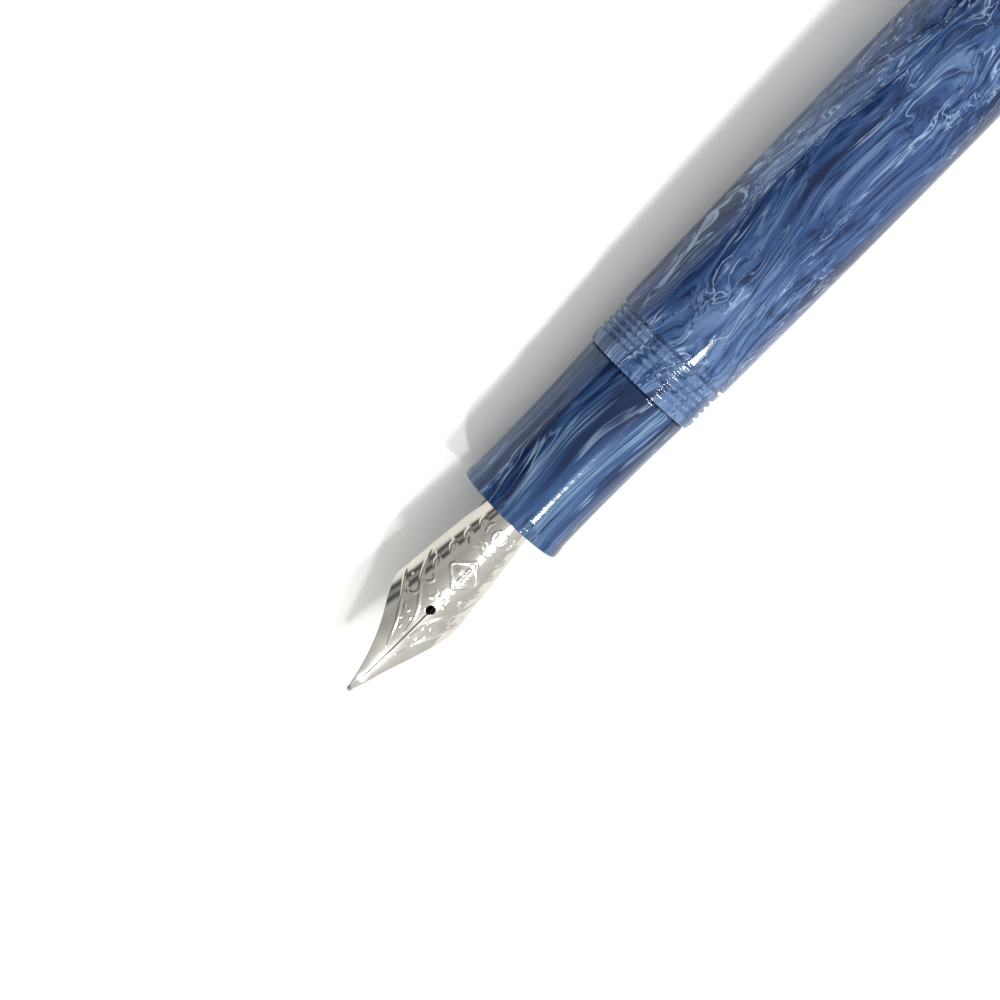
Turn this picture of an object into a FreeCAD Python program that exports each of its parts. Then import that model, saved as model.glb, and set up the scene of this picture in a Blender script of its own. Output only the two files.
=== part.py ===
import FreeCAD, Part
import math
import os
import re
import Sketcher
from FreeCAD import Placement, Rotation, Vector

# Fountain pen lying level along X: nib towards -X, nib top +Z, cap posted on the tail.
# Every length on the sheet is in mm. Lengths along the pen ("at", "from", "to") are counted
# from the tip of the nib. The last step moves the pieces so that the origin is the bottom
# centre of the whole pen.

SIZES = {
    "whole pen": {
        "total_length": 171.0, "axis_height": 10.35, "fit_gap": 0.03, "face_gap": 0.05,
    },
    "nib": {
        "sheet": 0.35, "slit_width": 0.12, "breather_at": 12.2, "breather_radius": 0.5,
        "pellet_radius": 0.32, "pellet_rise": 1.75,
        "nib_bore_radius": 2.95, "nib_edge_rise": 0.12,
    },
    "nib stations: place along the pen, half width, top and edge height over the axis": {
        "point_at": 0.45, "point_half": 0.32, "point_top": 1.98, "point_edge": 1.93,
        "tine_at": 6.2, "tine_half": 2.1, "tine_top": 2.8, "tine_edge": 2.55,
        "brow_at": 10.3, "brow_half": 3.95, "brow_top": 3.02, "brow_edge": 1.3,
        "shoulder_at": 12.4, "shoulder_half": 4.53, "shoulder_top": 3.08, "shoulder_edge": 0.18,
        "flank_at": 18.55, "flank_half": 3.84, "flank_top": 3.0, "flank_edge": 0.2,
        "base_at": 24.6, "tail_at": 35.6,
    },
    "feed": {
        "feed_from": 5.8, "feed_upper_radius": 2.55, "feed_lower_radius": 2.93,
        "feed_post_radius": 0.8, "feed_post_to": 40.0, "feed_front_top": 1.95,
        "feed_front_bottom": 1.2, "feed_slope_to": 14.5, "feed_channel": 0.5,
        "feed_front_half": 0.9,
        "fin_from": 14.6, "fin_gap": 0.35, "fin_pitch": 0.75, "fin_count": 12, "fin_depth": 1.6,
    },
    "nib housing": {
        "housing_from": 25.0, "flange_radius": 3.93, "flange_to": 25.7,
        "housing_thread_radius": 3.8, "housing_thread_to": 36.2, "housing_thread_pitch": 0.75,
        "housing_body_radius": 3.3, "housing_body_to": 41.4, "housing_bore": 3.0,
        "housing_bore_to": 35.8, "nipple_radius": 1.9, "nipple_to": 48.0, "ink_radius": 0.9,
    },
    "grip section": {
        "section_from": 24.6, "section_lip_radius": 6.34, "section_waist_radius": 6.165,
        "section_waist_at": 30.5, "section_sweep": 287.0, "section_mouth_radius": 4.0,
        "section_to": 43.55, "tenon_neck_radius": 4.62, "tenon_radius": 5.0,
        "tenon_pitch": 1.0, "tenon_thread_from": 44.55, "tenon_thread_to": 51.5, "tenon_to": 52.6,
        "section_rear_bore": 3.55,
    },
    "barrel seal": {"seal_at": 44.02, "seal_mean_radius": 5.03, "seal_thick_radius": 0.36},
    "barrel": {
        "barrel_from": 43.6, "barrel_nose_radius": 6.67, "thread_crest_radius": 6.85,
        "thread_root_radius": 6.58, "thread_pitch": 0.8, "thread_from": 44.64,
        "thread_to": 47.9, "relief_from": 48.5, "relief_to": 48.82, "relief_radius": 6.56,
        "barrel_shoulder_radius": 6.95, "barrel_belly_radius": 7.35, "barrel_belly_at": 88.0,
        "barrel_front_sweep": 2066.0, "barrel_tail_sweep": 230.0, "barrel_dome_at": 121.0,
        "barrel_dome_sweep": 5.6, "barrel_end_radius": 1.4, "barrel_to": 126.0,
        "barrel_bore": 4.1, "barrel_socket_to": 52.95, "barrel_bore_to": 121.5,
    },
    "converter": {
        "collar_from": 42.0, "collar_radius": 3.05, "mouth_radius": 1.93, "mouth_to": 48.4,
        "collar_to": 49.0, "spigot_to": 52.0, "tube_outer": 3.2, "tube_bore": 2.75,
        "tube_to": 85.0, "band_from": 81.0, "band_to": 92.6, "band_radius": 3.45,
        "guide_from": 83.0, "guide_to": 88.6, "rod_radius": 1.1, "rod_gap": 0.1,
        "rod_from": 77.6, "rod_to": 111.2, "rod_pitch": 1.2, "piston_from": 76.2,
        "piston_to": 80.2, "knob_from": 88.8, "knob_radius": 3.1, "knob_to": 113.0,
        "knob_bore_to": 112.0, "knob_neck_radius": 2.45, "ring_from": 90.0, "ring_to": 90.7,
        "knob_flute_radius": 0.35, "knob_flutes": 24,
    },
    "cap": {
        "cap_from": 104.0, "cap_belly_at": 124.0, "cap_belly_radius": 8.15,
        "cap_sweep": 1019.0, "cap_to": 163.15, "cap_bore": 7.0, "cap_mouth_radius": 7.3,
        "cap_thread_from": 105.6, "cap_thread_to": 110.4, "cap_thread_radius": 6.7,
        "cap_thread_root": 6.95, "cap_bore_to": 156.6, "stud_hole": 2.55,
        "band_groove_floor": 7.6, "band_outer": 8.2, "wide_band_from": 107.2,
        "wide_band_to": 111.2, "front_ring_from": 106.2, "front_ring_to": 106.8,
        "rear_ring_from": 111.6, "rear_ring_to": 112.2,
    },
    "inner cap": {
        "liner_from": 128.3, "liner_to": 155.6, "liner_outer": 6.93, "liner_bore": 5.6,
        "liner_floor": 154.4,
    },
    "clip": {
        "clip_turn": 180.0, "clip_ring_from": 163.2, "clip_ring_to": 164.0,
        "clip_ring_radius": 7.05, "clip_tab_radius": 8.0, "clip_width": 3.6,
        "clip_tip_width": 3.0, "clip_low": 8.85, "clip_high": 9.6, "clip_foot": 8.1,
        "bead_at": 127.0, "bead_radius": 1.05, "bead_rise": 9.3, "bead_width": 6.2,
    },
    "finial": {
        "finial_ring_from": 164.05, "finial_ring_to": 164.6, "finial_ring_radius": 7.3,
        "finial_from": 164.65, "finial_radius": 7.05, "finial_shoulder": 167.6,
        "finial_face_radius": 3.6, "finial_sweep": 4.9, "finial_bore_to": 168.4,
        "stud_radius": 2.5, "stud_from": 157.4, "stud_to": 168.0,
    },
}

doc = FreeCAD.newDocument("FountainPen")
sheet = doc.addObject("Spreadsheet::Sheet", "Sizes")


def fill_sheet():
    """Write each size on its own row, under the name of its piece."""
    row = 1
    for piece, sizes in SIZES.items():
        sheet.set("A%d" % row, piece)
        row += 1
        for name, value in sizes.items():
            sheet.set("A%d" % row, name.replace("_", " "))
            sheet.set("B%d" % row, str(value))
            sheet.setAlias("B%d" % row, name)
            row += 1
    doc.recompute()


def named(text):
    """Turn plain size names into references to the sheet."""
    return re.sub(r"\b([a-z][a-z_]+)\b(?!\()", r"Sizes.\1", str(text))


def size(text):
    """Value of an expression over the sheet's names."""
    return float(sheet.evalExpression(named(text)))


# ---- sketches ---------------------------------------------------------------------------

def origin_plane(body, plane):
    """One of a body's own planes: XY, XZ or YZ."""
    return [p for p in body.Origin.OriginFeatures if p.Role == plane + "_Plane"][0]


def new_sketch(body, name, plane, along=None):
    """Empty sketch on one of the body's own planes, moved along the plane's normal."""
    sketch = body.newObject("Sketcher::SketchObject", name)
    sketch.AttachmentSupport = [(origin_plane(body, plane), "")]
    sketch.MapMode = "FlatFace"
    if along is not None:
        sketch.setExpression("AttachmentOffset.Base.z", named(along))
    return sketch


def drive(sketch, constraint, text):
    """Add a dimension and bind it to the sheet."""
    index = sketch.addConstraint(constraint)
    sketch.setExpression("Constraints[%d]" % index, text)


def pin(sketch, edge, end, across, up):
    """Hold one end of an edge at a place given by two expressions."""
    for kind, text, axis in (("DistanceX", across, -2), ("DistanceY", up, -1)):
        value = size(text)
        if abs(value) < 1e-9:
            sketch.addConstraint(Sketcher.Constraint("PointOnObject", edge, end, axis))
        elif value > 0:
            drive(sketch, Sketcher.Constraint(kind, -1, 1, edge, end, value), named(text))
        else:
            drive(sketch, Sketcher.Constraint(kind, edge, end, -1, 1, -value),
                  "-(" + named(text) + ")")


def crown(start, stop, radius):
    """Middle of the arc from start to stop; a positive radius bulges to the left."""
    chord = stop - start
    half = chord.Length / 2
    rise = abs(radius) - math.sqrt(max(radius * radius - half * half, 0.0))
    left = Vector(-chord.y, chord.x, 0) / chord.Length
    return (start + stop) / 2 + left * math.copysign(rise, radius)


def outline(body, name, plane, corners, along=None):
    """Closed outline; a corner's third item makes the edge that leaves it an arc."""
    sketch = new_sketch(body, name, plane, along)
    spots = [Vector(size(corner[0]), size(corner[1]), 0) for corner in corners]
    ends = []
    for i, corner in enumerate(corners):
        start, stop = spots[i], spots[(i + 1) % len(spots)]
        if len(corner) > 2:
            edge = Part.Arc(start, crown(start, stop, size(corner[2])), stop)
        else:
            edge = Part.LineSegment(start, stop)
        sketch.addGeometry(edge, False)
        straight = sketch.getPoint(i, 1).distanceToPoint(start) < 1e-6
        ends.append((1, 2) if straight else (2, 1))
    for i, corner in enumerate(corners):
        after = (i + 1) % len(corners)
        sketch.addConstraint(
            Sketcher.Constraint("Coincident", i, ends[i][1], after, ends[after][0]))
        pin(sketch, i, ends[i][0], corner[0], corner[1])
        if len(corner) > 2:
            text = str(corner[2]).lstrip("-")
            drive(sketch, Sketcher.Constraint("Radius", i, size(text)), named(text))
    return sketch


def ring_sketch(body, name, plane, across, up, radius, along=None):
    """Sketch of one circle."""
    sketch = new_sketch(body, name, plane, along)
    centre = Vector(size(across), size(up), 0)
    sketch.addGeometry(Part.Circle(centre, Vector(0, 0, 1), size(radius)), False)
    drive(sketch, Sketcher.Constraint("Radius", 0, size(radius)), named(radius))
    pin(sketch, 0, 3, across, up)
    return sketch


# ---- features ---------------------------------------------------------------------------

def new_body(name):
    return doc.addObject("PartDesign::Body", name)


def revolve(body, name, corners, cut=False):
    """Turn an outline of lengths and radii round the pen's axis."""
    sketch = outline(body, name + "_outline", "XZ", corners)
    kind = "PartDesign::Groove" if cut else "PartDesign::Revolution"
    feature = body.newObject(kind, name)
    feature.Profile = (sketch, [""])
    feature.ReferenceAxis = (sketch, ["H_Axis"])
    feature.Angle = 360
    return feature


def turned(name, corners):
    """Body turned in one go from its half outline."""
    body = new_body(name)
    revolve(body, name + "_turned", corners)
    return body


def thread(body, name, start, length, pitch, root, open_radius, half_mouth):
    """Cut a V thread: its root and its mouth are radii, so it can face in or out."""
    mouth = [("%s - %s" % (start, half_mouth), open_radius),
             ("%s + %s" % (start, half_mouth), open_radius)]
    sketch = outline(body, name + "_vee", "XZ", [(start, root)] + mouth)
    helix = body.newObject("PartDesign::SubtractiveHelix", name)
    helix.Profile = (sketch, [""])
    helix.ReferenceAxis = (sketch, ["H_Axis"])
    helix.Mode = 0
    helix.setExpression("Pitch", named(pitch))
    helix.setExpression("Height", named(length))
    return helix


def extrude(body, name, sketch, length, cut=False, both_sides=False):
    """Pad or pocket a sketch."""
    feature = body.newObject("PartDesign::Pocket" if cut else "PartDesign::Pad", name)
    feature.Profile = (sketch, [""])
    feature.setExpression("Length", named(length))
    feature.Midplane = both_sides
    return feature


def repeat(body, name, feature, direction, step, count):
    """Repeat a feature in a straight row."""
    body.Tip = feature
    pattern = body.newObject("PartDesign::LinearPattern", name)
    pattern.Originals = [feature]
    pattern.Direction = direction
    pattern.setExpression("Length", named("%s * (%s - 1)" % (step, count)))
    pattern.setExpression("Occurrences", named(count))
    body.Tip = pattern
    return pattern


def repeat_round(body, name, feature, sketch, count):
    """Repeat a feature round the pen's axis."""
    body.Tip = feature
    pattern = body.newObject("PartDesign::PolarPattern", name)
    pattern.Originals = [feature]
    pattern.Axis = (sketch, ["N_Axis"])
    pattern.Angle = 360
    pattern.setExpression("Occurrences", named(count))
    body.Tip = pattern
    return pattern


# ---- nib unit ---------------------------------------------------------------------------

def crescent(body, name, at, half, top, edge):
    """Cross-section of the bent sheet: an outer and an inner arc about one centre."""
    sag = "(%s - %s)" % (top, edge)
    radius = "((%s ^ 2 + %s ^ 2) / (2 * %s))" % (half, sag, sag)
    share = "(1 - sheet / %s)" % radius
    centre = "(%s - %s)" % (top, radius)
    inner_half = "%s * %s" % (half, share)
    inner_edge = "%s + (%s - %s) * %s" % (centre, edge, centre, share)
    return outline(body, name, "YZ", [
        (half, edge, "-" + radius),
        ("-" + half, edge),
        ("-" + inner_half, inner_edge, "(" + radius + " - sheet)"),
        (inner_half, inner_edge)], at)


def make_nib():
    """Bent sheet lofted through its stations, then the slit and the breather hole."""
    body = new_body("nib")
    stations = [crescent(body, "nib_" + name, name + "_at", name + "_half", name + "_top",
                         name + "_edge")
                for name in ("point", "tine", "brow", "shoulder", "flank")]
    wrap = "sqrt(nib_bore_radius ^ 2 - nib_edge_rise ^ 2)"
    for name in ("base", "tail"):
        stations.append(crescent(body, "nib_" + name, name + "_at", wrap,
                                 "nib_bore_radius", "nib_edge_rise"))
    loft = body.newObject("PartDesign::AdditiveLoft", "nib_sheet")
    loft.Profile = (stations[0], [""])
    loft.Sections = [(station, [""]) for station in stations[1:]]
    loft.Ruled = True
    slit = outline(body, "nib_slit_outline", "XY", [
        ("-1", "-slit_width / 2"), ("breather_at", "-slit_width / 2"),
        ("breather_at", "slit_width / 2"), ("-1", "slit_width / 2")])
    extrude(body, "nib_slit", slit, "20", cut=True, both_sides=True)
    hole = ring_sketch(body, "nib_breather_outline", "XY", "breather_at", "0",
                       "breather_radius")
    extrude(body, "nib_breather", hole, "20", cut=True, both_sides=True)
    return body


def make_tipping():
    """One ball of hard metal parted by the slit, so two pellets."""
    ball = doc.addObject("Part::Sphere", "tipping_ball")
    ball.setExpression("Radius", named("pellet_radius"))
    ball.setExpression("Placement.Base.x", named("pellet_radius"))
    ball.setExpression("Placement.Base.z", named("pellet_rise"))
    gap = doc.addObject("Part::Box", "tipping_gap")
    for side, text in (("Length", "2"), ("Width", "slit_width"), ("Height", "4")):
        gap.setExpression(side, named(text))
    gap.Placement.Base.x = -0.5
    gap.setExpression("Placement.Base.y", named("-slit_width / 2"))
    pellets = doc.addObject("Part::Cut", "nib_tipping")
    pellets.Base, pellets.Tool = ball, gap
    return pellets


def make_feed():
    """Feed: round below, stepped down above for the nib, finned underneath."""
    body = new_body("feed")
    upper = "sqrt(feed_upper_radius ^ 2 - nib_edge_rise ^ 2)"
    lower = "sqrt(feed_lower_radius ^ 2 - nib_edge_rise ^ 2)"
    profile = outline(body, "feed_end", "YZ", [
        (upper, "nib_edge_rise / 2", "-feed_upper_radius"), ("-" + upper, "nib_edge_rise / 2"),
        ("-" + lower, "-nib_edge_rise / 2", "-feed_lower_radius"), (lower, "-nib_edge_rise / 2")],
        "feed_from")
    extrude(body, "feed_bar", profile, "tail_at - feed_from")
    post = ring_sketch(body, "feed_post_outline", "YZ", "0", "0", "feed_post_radius",
                       "tail_at - 1")
    extrude(body, "feed_post", post, "feed_post_to - tail_at + 1")
    above = outline(body, "feed_above", "XZ", [
        ("feed_from - 1", "feed_front_top - 0.1"), ("breather_at + 1", "feed_upper_radius + 0.05"),
        ("breather_at + 1", "5"), ("feed_from - 1", "5")])
    extrude(body, "feed_top_slope", above, "10", cut=True, both_sides=True)
    below = outline(body, "feed_below", "XZ", [
        ("feed_from - 1", "feed_front_bottom"), ("feed_from", "feed_front_bottom", "9"),
        ("feed_slope_to", "-feed_lower_radius - 0.1"), ("feed_from - 1", "-5")])
    extrude(body, "feed_chin", below, "10", cut=True, both_sides=True)
    for side, word in (("", "left"), ("-", "right")):
        cheek = outline(body, "feed_" + word, "XY", [
            ("feed_from - 1", side + "feed_front_half"), ("feed_from", side + "feed_front_half"),
            ("feed_slope_to", side + "(feed_lower_radius + 0.1)"), ("feed_from - 1", side + "5")])
        extrude(body, "feed_cheek_" + word, cheek, "10", cut=True, both_sides=True)
    channel = outline(body, "feed_channel_end", "YZ", [
        ("-feed_channel / 2", "1.5"), ("feed_channel / 2", "1.5"),
        ("feed_channel / 2", "3"), ("-feed_channel / 2", "3")], "feed_from - 1")
    extrude(body, "feed_channel_cut", channel, "-(tail_at - feed_from + 2)", cut=True)
    slot = outline(body, "feed_fin_outline", "XZ", [
        ("fin_from", "-feed_lower_radius - 0.3"), ("fin_from + fin_gap", "-feed_lower_radius - 0.3"),
        ("fin_from + fin_gap", "fin_depth - feed_lower_radius"),
        ("fin_from", "fin_depth - feed_lower_radius")])
    fins = extrude(body, "feed_fin_slot", slot, "10", cut=True, both_sides=True)
    repeat(body, "feed_fins", fins, (slot, ["H_Axis"]), "fin_pitch", "fin_count")
    return body


def make_housing():
    """Threaded collar round nib and feed; its rear ends in the ink nipple."""
    body = turned("nib_housing", [
        ("housing_from", "housing_bore"), ("housing_from", "flange_radius"),
        ("flange_to", "flange_radius"), ("flange_to", "housing_body_radius + 0.15"),
        ("flange_to + 0.6", "housing_body_radius + 0.15"),
        ("flange_to + 0.6", "housing_thread_radius"),
        ("housing_thread_to - 0.3", "housing_thread_radius"),
        ("housing_thread_to", "housing_body_radius"), ("housing_body_to - 0.4", "housing_body_radius"),
        ("housing_body_to", "housing_body_radius - 0.4"), ("housing_body_to", "nipple_radius"),
        ("nipple_to - 0.6", "nipple_radius"), ("nipple_to", "nipple_radius - 0.4"),
        ("nipple_to", "ink_radius"), ("housing_bore_to", "ink_radius"),
        ("housing_bore_to", "housing_bore")])
    thread(body, "housing_thread", "flange_to + 0.6", "housing_thread_to - flange_to - 0.9",
           "housing_thread_pitch", "housing_thread_radius - 0.28", "housing_thread_radius + 0.1",
           "0.3")
    return body


# ---- section and barrel -----------------------------------------------------------------

def make_section():
    """Grip section with its lip, waist, shoulder and threaded tenon."""
    waist = "(section_waist_radius + (%s - section_waist_at) ^ 2 / (2 * section_sweep))"
    body = turned("grip_section", [
        ("section_from", "section_mouth_radius"),
        ("section_from", "section_lip_radius - 0.42", "0.5"),
        ("section_from + 0.42", "section_lip_radius"),
        ("section_from + 0.75", "section_lip_radius"),
        ("section_from + 1.7", waist % "(section_from + 1.7)", "-section_sweep"),
        ("section_to - 0.2", waist % "(section_to - 0.2)"),
        ("section_to", "section_waist_radius"),
        ("section_to", "tenon_neck_radius"), ("tenon_thread_from", "tenon_neck_radius"),
        ("tenon_thread_from + 0.3", "tenon_radius"), ("tenon_thread_to", "tenon_radius"),
        ("tenon_thread_to + 0.4", "tenon_neck_radius"), ("tenon_to - 0.3", "tenon_neck_radius"),
        ("tenon_to", "tenon_neck_radius - 0.3"), ("tenon_to", "section_rear_bore"),
        ("housing_body_to + 0.2", "section_rear_bore"),
        ("housing_body_to + 0.2", "housing_body_radius + 0.08"),
        ("housing_thread_to + 0.7", "housing_body_radius + 0.08"),
        ("housing_thread_to + 0.7", "housing_thread_radius + fit_gap"),
        ("flange_to + face_gap", "housing_thread_radius + fit_gap"),
        ("flange_to + face_gap", "section_mouth_radius")])
    thread(body, "tenon_thread", "tenon_thread_from + 0.2",
           "tenon_thread_to - tenon_thread_from", "tenon_pitch", "tenon_radius - 0.36",
           "tenon_radius + 0.12", "0.42")
    return body


def make_seal():
    """Rubber ring at the foot of the tenon."""
    body = new_body("barrel_seal")
    circle = ring_sketch(body, "seal_round", "XZ", "seal_at", "seal_mean_radius",
                         "seal_thick_radius")
    feature = body.newObject("PartDesign::Revolution", "seal_turned")
    feature.Profile = (circle, [""])
    feature.ReferenceAxis = (circle, ["H_Axis"])
    feature.Angle = 360
    return body


def make_barrel():
    """Barrel: cap thread on its front, a long belly, a rounded tail and a blind bore."""
    def belly(at, sweep):
        return "(barrel_belly_radius - (%s - barrel_belly_at) ^ 2 / (2 * %s))" % (at, sweep)
    body = turned("barrel", [
        ("barrel_from", "seal_mean_radius + seal_thick_radius + 0.06"),
        ("barrel_from", "barrel_nose_radius"), ("barrel_from + 0.75", "thread_crest_radius"),
        ("relief_from", "thread_crest_radius"), ("relief_from", "relief_radius"),
        ("relief_to", "relief_radius"), ("relief_to", "barrel_shoulder_radius"),
        ("relief_to + 0.1", belly("(relief_to + 0.1)", "barrel_front_sweep"),
         "barrel_front_sweep"),
        ("barrel_belly_at", "barrel_belly_radius", "barrel_tail_sweep"),
        ("barrel_dome_at", belly("barrel_dome_at", "barrel_tail_sweep"), "barrel_dome_sweep"),
        ("barrel_to", "barrel_end_radius"), ("barrel_to", "0"),
        ("barrel_bore_to + 1.2", "0"), ("barrel_bore_to", "barrel_bore"),
        ("barrel_socket_to", "barrel_bore"), ("barrel_socket_to", "tenon_radius + fit_gap"),
        ("seal_at + seal_thick_radius + 0.1", "tenon_radius + fit_gap"),
        ("seal_at + seal_thick_radius + 0.1", "seal_mean_radius + seal_thick_radius + 0.06")])
    thread(body, "cap_thread_outside", "thread_from", "thread_to - thread_from", "thread_pitch",
           "thread_root_radius", "thread_crest_radius + 0.08", "0.24")
    thread(body, "socket_thread", "barrel_from + 1.6", "6", "tenon_pitch",
           "tenon_radius + 0.36", "tenon_radius - 0.1", "0.42")
    return body


# ---- converter --------------------------------------------------------------------------

def make_converter():
    """The ink converter: collar, tube, band, piston, rod, guide, knob and ring."""
    spigot = "(tube_bore - fit_gap)"
    collar = turned("converter_collar", [
        ("collar_from", "mouth_radius + 0.3"), ("collar_from", "collar_radius - 0.35"),
        ("collar_from + 0.35", "collar_radius"), ("collar_to", "collar_radius"),
        ("collar_to", spigot), ("spigot_to", spigot), ("spigot_to", "1.4"), ("mouth_to", "1.4"),
        ("mouth_to", "mouth_radius"), ("collar_from + 0.3", "mouth_radius")])
    tube = turned("converter_tube", [
        ("collar_to + face_gap", "tube_bore"), ("collar_to + face_gap", "tube_outer"),
        ("tube_to", "tube_outer"), ("tube_to", "tube_bore")])
    band = turned("converter_band", [
        ("band_from", "tube_outer + fit_gap"), ("band_from", "band_radius - 0.1"),
        ("band_from + 0.1", "band_radius"), ("band_to - 0.1", "band_radius"),
        ("band_to", "band_radius - 0.1"), ("band_to", "tube_outer + fit_gap")])
    guide = turned("rod_guide", [
        ("guide_from", "rod_radius + rod_gap"), ("guide_from", spigot),
        ("tube_to + face_gap", spigot), ("tube_to + face_gap", "tube_outer"),
        ("guide_to", "tube_outer"), ("guide_to", "rod_radius + rod_gap")])
    seal = turned("piston_seal", [
        ("piston_from", "0"), ("piston_from", "tube_bore - 0.25"),
        ("piston_from + 0.5", "tube_bore - 0.02"), ("piston_from + 1", "tube_bore - 0.25"),
        ("piston_to - 1", "tube_bore - 0.25"), ("piston_to - 0.5", "tube_bore - 0.02"),
        ("piston_to", "tube_bore - 0.25"), ("piston_to", "rod_radius + 0.01"),
        ("rod_from - 0.02", "rod_radius + 0.01"), ("rod_from - 0.02", "0")])
    rod = turned("piston_rod", [
        ("rod_from", "0"), ("rod_from", "rod_radius"), ("rod_to - 0.3", "rod_radius"),
        ("rod_to", "rod_radius - 0.3"), ("rod_to", "0")])
    thread(rod, "rod_thread", "piston_to + 1", "rod_to - piston_to - 1.6", "rod_pitch",
           "rod_radius - 0.3", "rod_radius + 0.1", "0.45")
    bore = "(rod_radius + rod_gap)"
    knob = turned("converter_knob", [
        ("knob_from", bore), ("knob_from", "knob_radius"),
        ("ring_from - 0.1", "knob_radius"), ("ring_from - 0.1", "knob_neck_radius"),
        ("ring_to + 0.1", "knob_neck_radius"), ("ring_to + 0.1", "knob_radius"),
        ("knob_to - 0.6", "knob_radius", "0.6"), ("knob_to", "knob_radius - 0.6"),
        ("knob_to", "0"), ("knob_bore_to", "0"), ("knob_bore_to", bore)])
    flute = ring_sketch(knob, "knob_flute_round", "YZ", "0", "knob_radius + knob_flute_radius / 2",
                        "knob_flute_radius", "band_to + 3")
    groove = extrude(knob, "knob_flute", flute, "-(knob_to - band_to)", cut=True)
    repeat_round(knob, "knob_grip", groove, flute, "knob_flutes")
    ring = turned("knob_retaining_ring", [
        ("ring_from", "knob_neck_radius + fit_gap"), ("ring_from", "tube_outer"),
        ("ring_to", "tube_outer"), ("ring_to", "knob_neck_radius + fit_gap")])
    return [collar, tube, band, guide, seal, rod, knob, ring]


# ---- cap --------------------------------------------------------------------------------

def cap_skin(at):
    return "(cap_belly_radius - (%s - cap_belly_at) ^ 2 / (2 * cap_sweep))" % at


def make_cap():
    """Cap tube with its inside thread, bands, liner, clip and finial."""
    body = turned("cap_body", [
        ("cap_from", "cap_mouth_radius"), ("cap_from", cap_skin("cap_from") + " - 0.25", "0.3"),
        ("cap_from + 0.25", cap_skin("(cap_from + 0.25)"), "cap_sweep"),
        ("cap_to", cap_skin("cap_to")), ("cap_to", "stud_hole"),
        ("cap_bore_to + 2", "stud_hole"), ("cap_bore_to", "cap_bore - 2"),
        ("cap_bore_to - 0.4", "cap_bore"), ("cap_thread_to", "cap_bore"),
        ("cap_thread_to", "cap_thread_radius"), ("cap_thread_from", "cap_thread_radius"),
        ("cap_thread_from - 0.4", "cap_bore")])
    thread(body, "cap_thread_inside", "cap_thread_from + 0.4",
           "cap_thread_to - cap_thread_from - 0.8", "thread_pitch", "cap_thread_root",
           "cap_thread_radius - 0.06", "0.24")
    nodes = [body]
    for name, first, last in (("cap_band", "wide_band_from", "wide_band_to"),
                              ("cap_band_ring_front", "front_ring_from", "front_ring_to"),
                              ("cap_band_ring_rear", "rear_ring_from", "rear_ring_to")):
        revolve(body, name + "_groove", [
            (first, "band_groove_floor"), (last, "band_groove_floor"),
            (last, "band_outer + 1"), (first, "band_outer + 1")], cut=True)
        nodes.append(turned(name, [
            (first + " + 0.02", "band_groove_floor + fit_gap"),
            (first + " + 0.02", "band_outer - 0.06"), (first + " + 0.08", "band_outer"),
            (last + " - 0.08", "band_outer"), (last + " - 0.02", "band_outer - 0.06"),
            (last + " - 0.02", "band_groove_floor + fit_gap")]))
    nodes.append(turned("inner_cap", [
        ("liner_from", "liner_bore"), ("liner_from", "liner_outer - 0.3"),
        ("liner_from + 0.3", "liner_outer"), ("liner_to", "liner_outer"), ("liner_to", "0"),
        ("liner_floor", "0"), ("liner_floor", "liner_bore - 0.8"),
        ("liner_floor - 0.8", "liner_bore")]))
    nodes.append(turned("finial_ring", [
        ("finial_ring_from", "stud_hole"), ("finial_ring_from", "finial_ring_radius - 0.1"),
        ("finial_ring_from + 0.1", "finial_ring_radius"),
        ("finial_ring_to - 0.1", "finial_ring_radius"),
        ("finial_ring_to", "finial_ring_radius - 0.1"), ("finial_ring_to", "stud_hole")]))
    nodes.append(turned("cap_finial", [
        ("finial_from", "stud_hole"), ("finial_from", "finial_radius"),
        ("finial_shoulder", "finial_radius - 0.35", "finial_sweep"),
        ("total_length", "finial_face_radius"), ("total_length", "0"),
        ("finial_bore_to", "0"), ("finial_bore_to", "stud_hole")]))
    stud = turned("finial_screw", [
        ("stud_from", "0"), ("stud_from", "stud_radius - 0.3"),
        ("stud_from + 0.3", "stud_radius"), ("stud_to - 0.3", "stud_radius"),
        ("stud_to", "stud_radius - 0.3"), ("stud_to", "0")])
    thread(stud, "stud_thread", "stud_from + 0.4", "stud_to - stud_from - 0.9",
           "thread_pitch", "stud_radius - 0.28", "stud_radius + 0.1", "0.3")
    nodes.append(stud)
    return nodes


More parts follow.
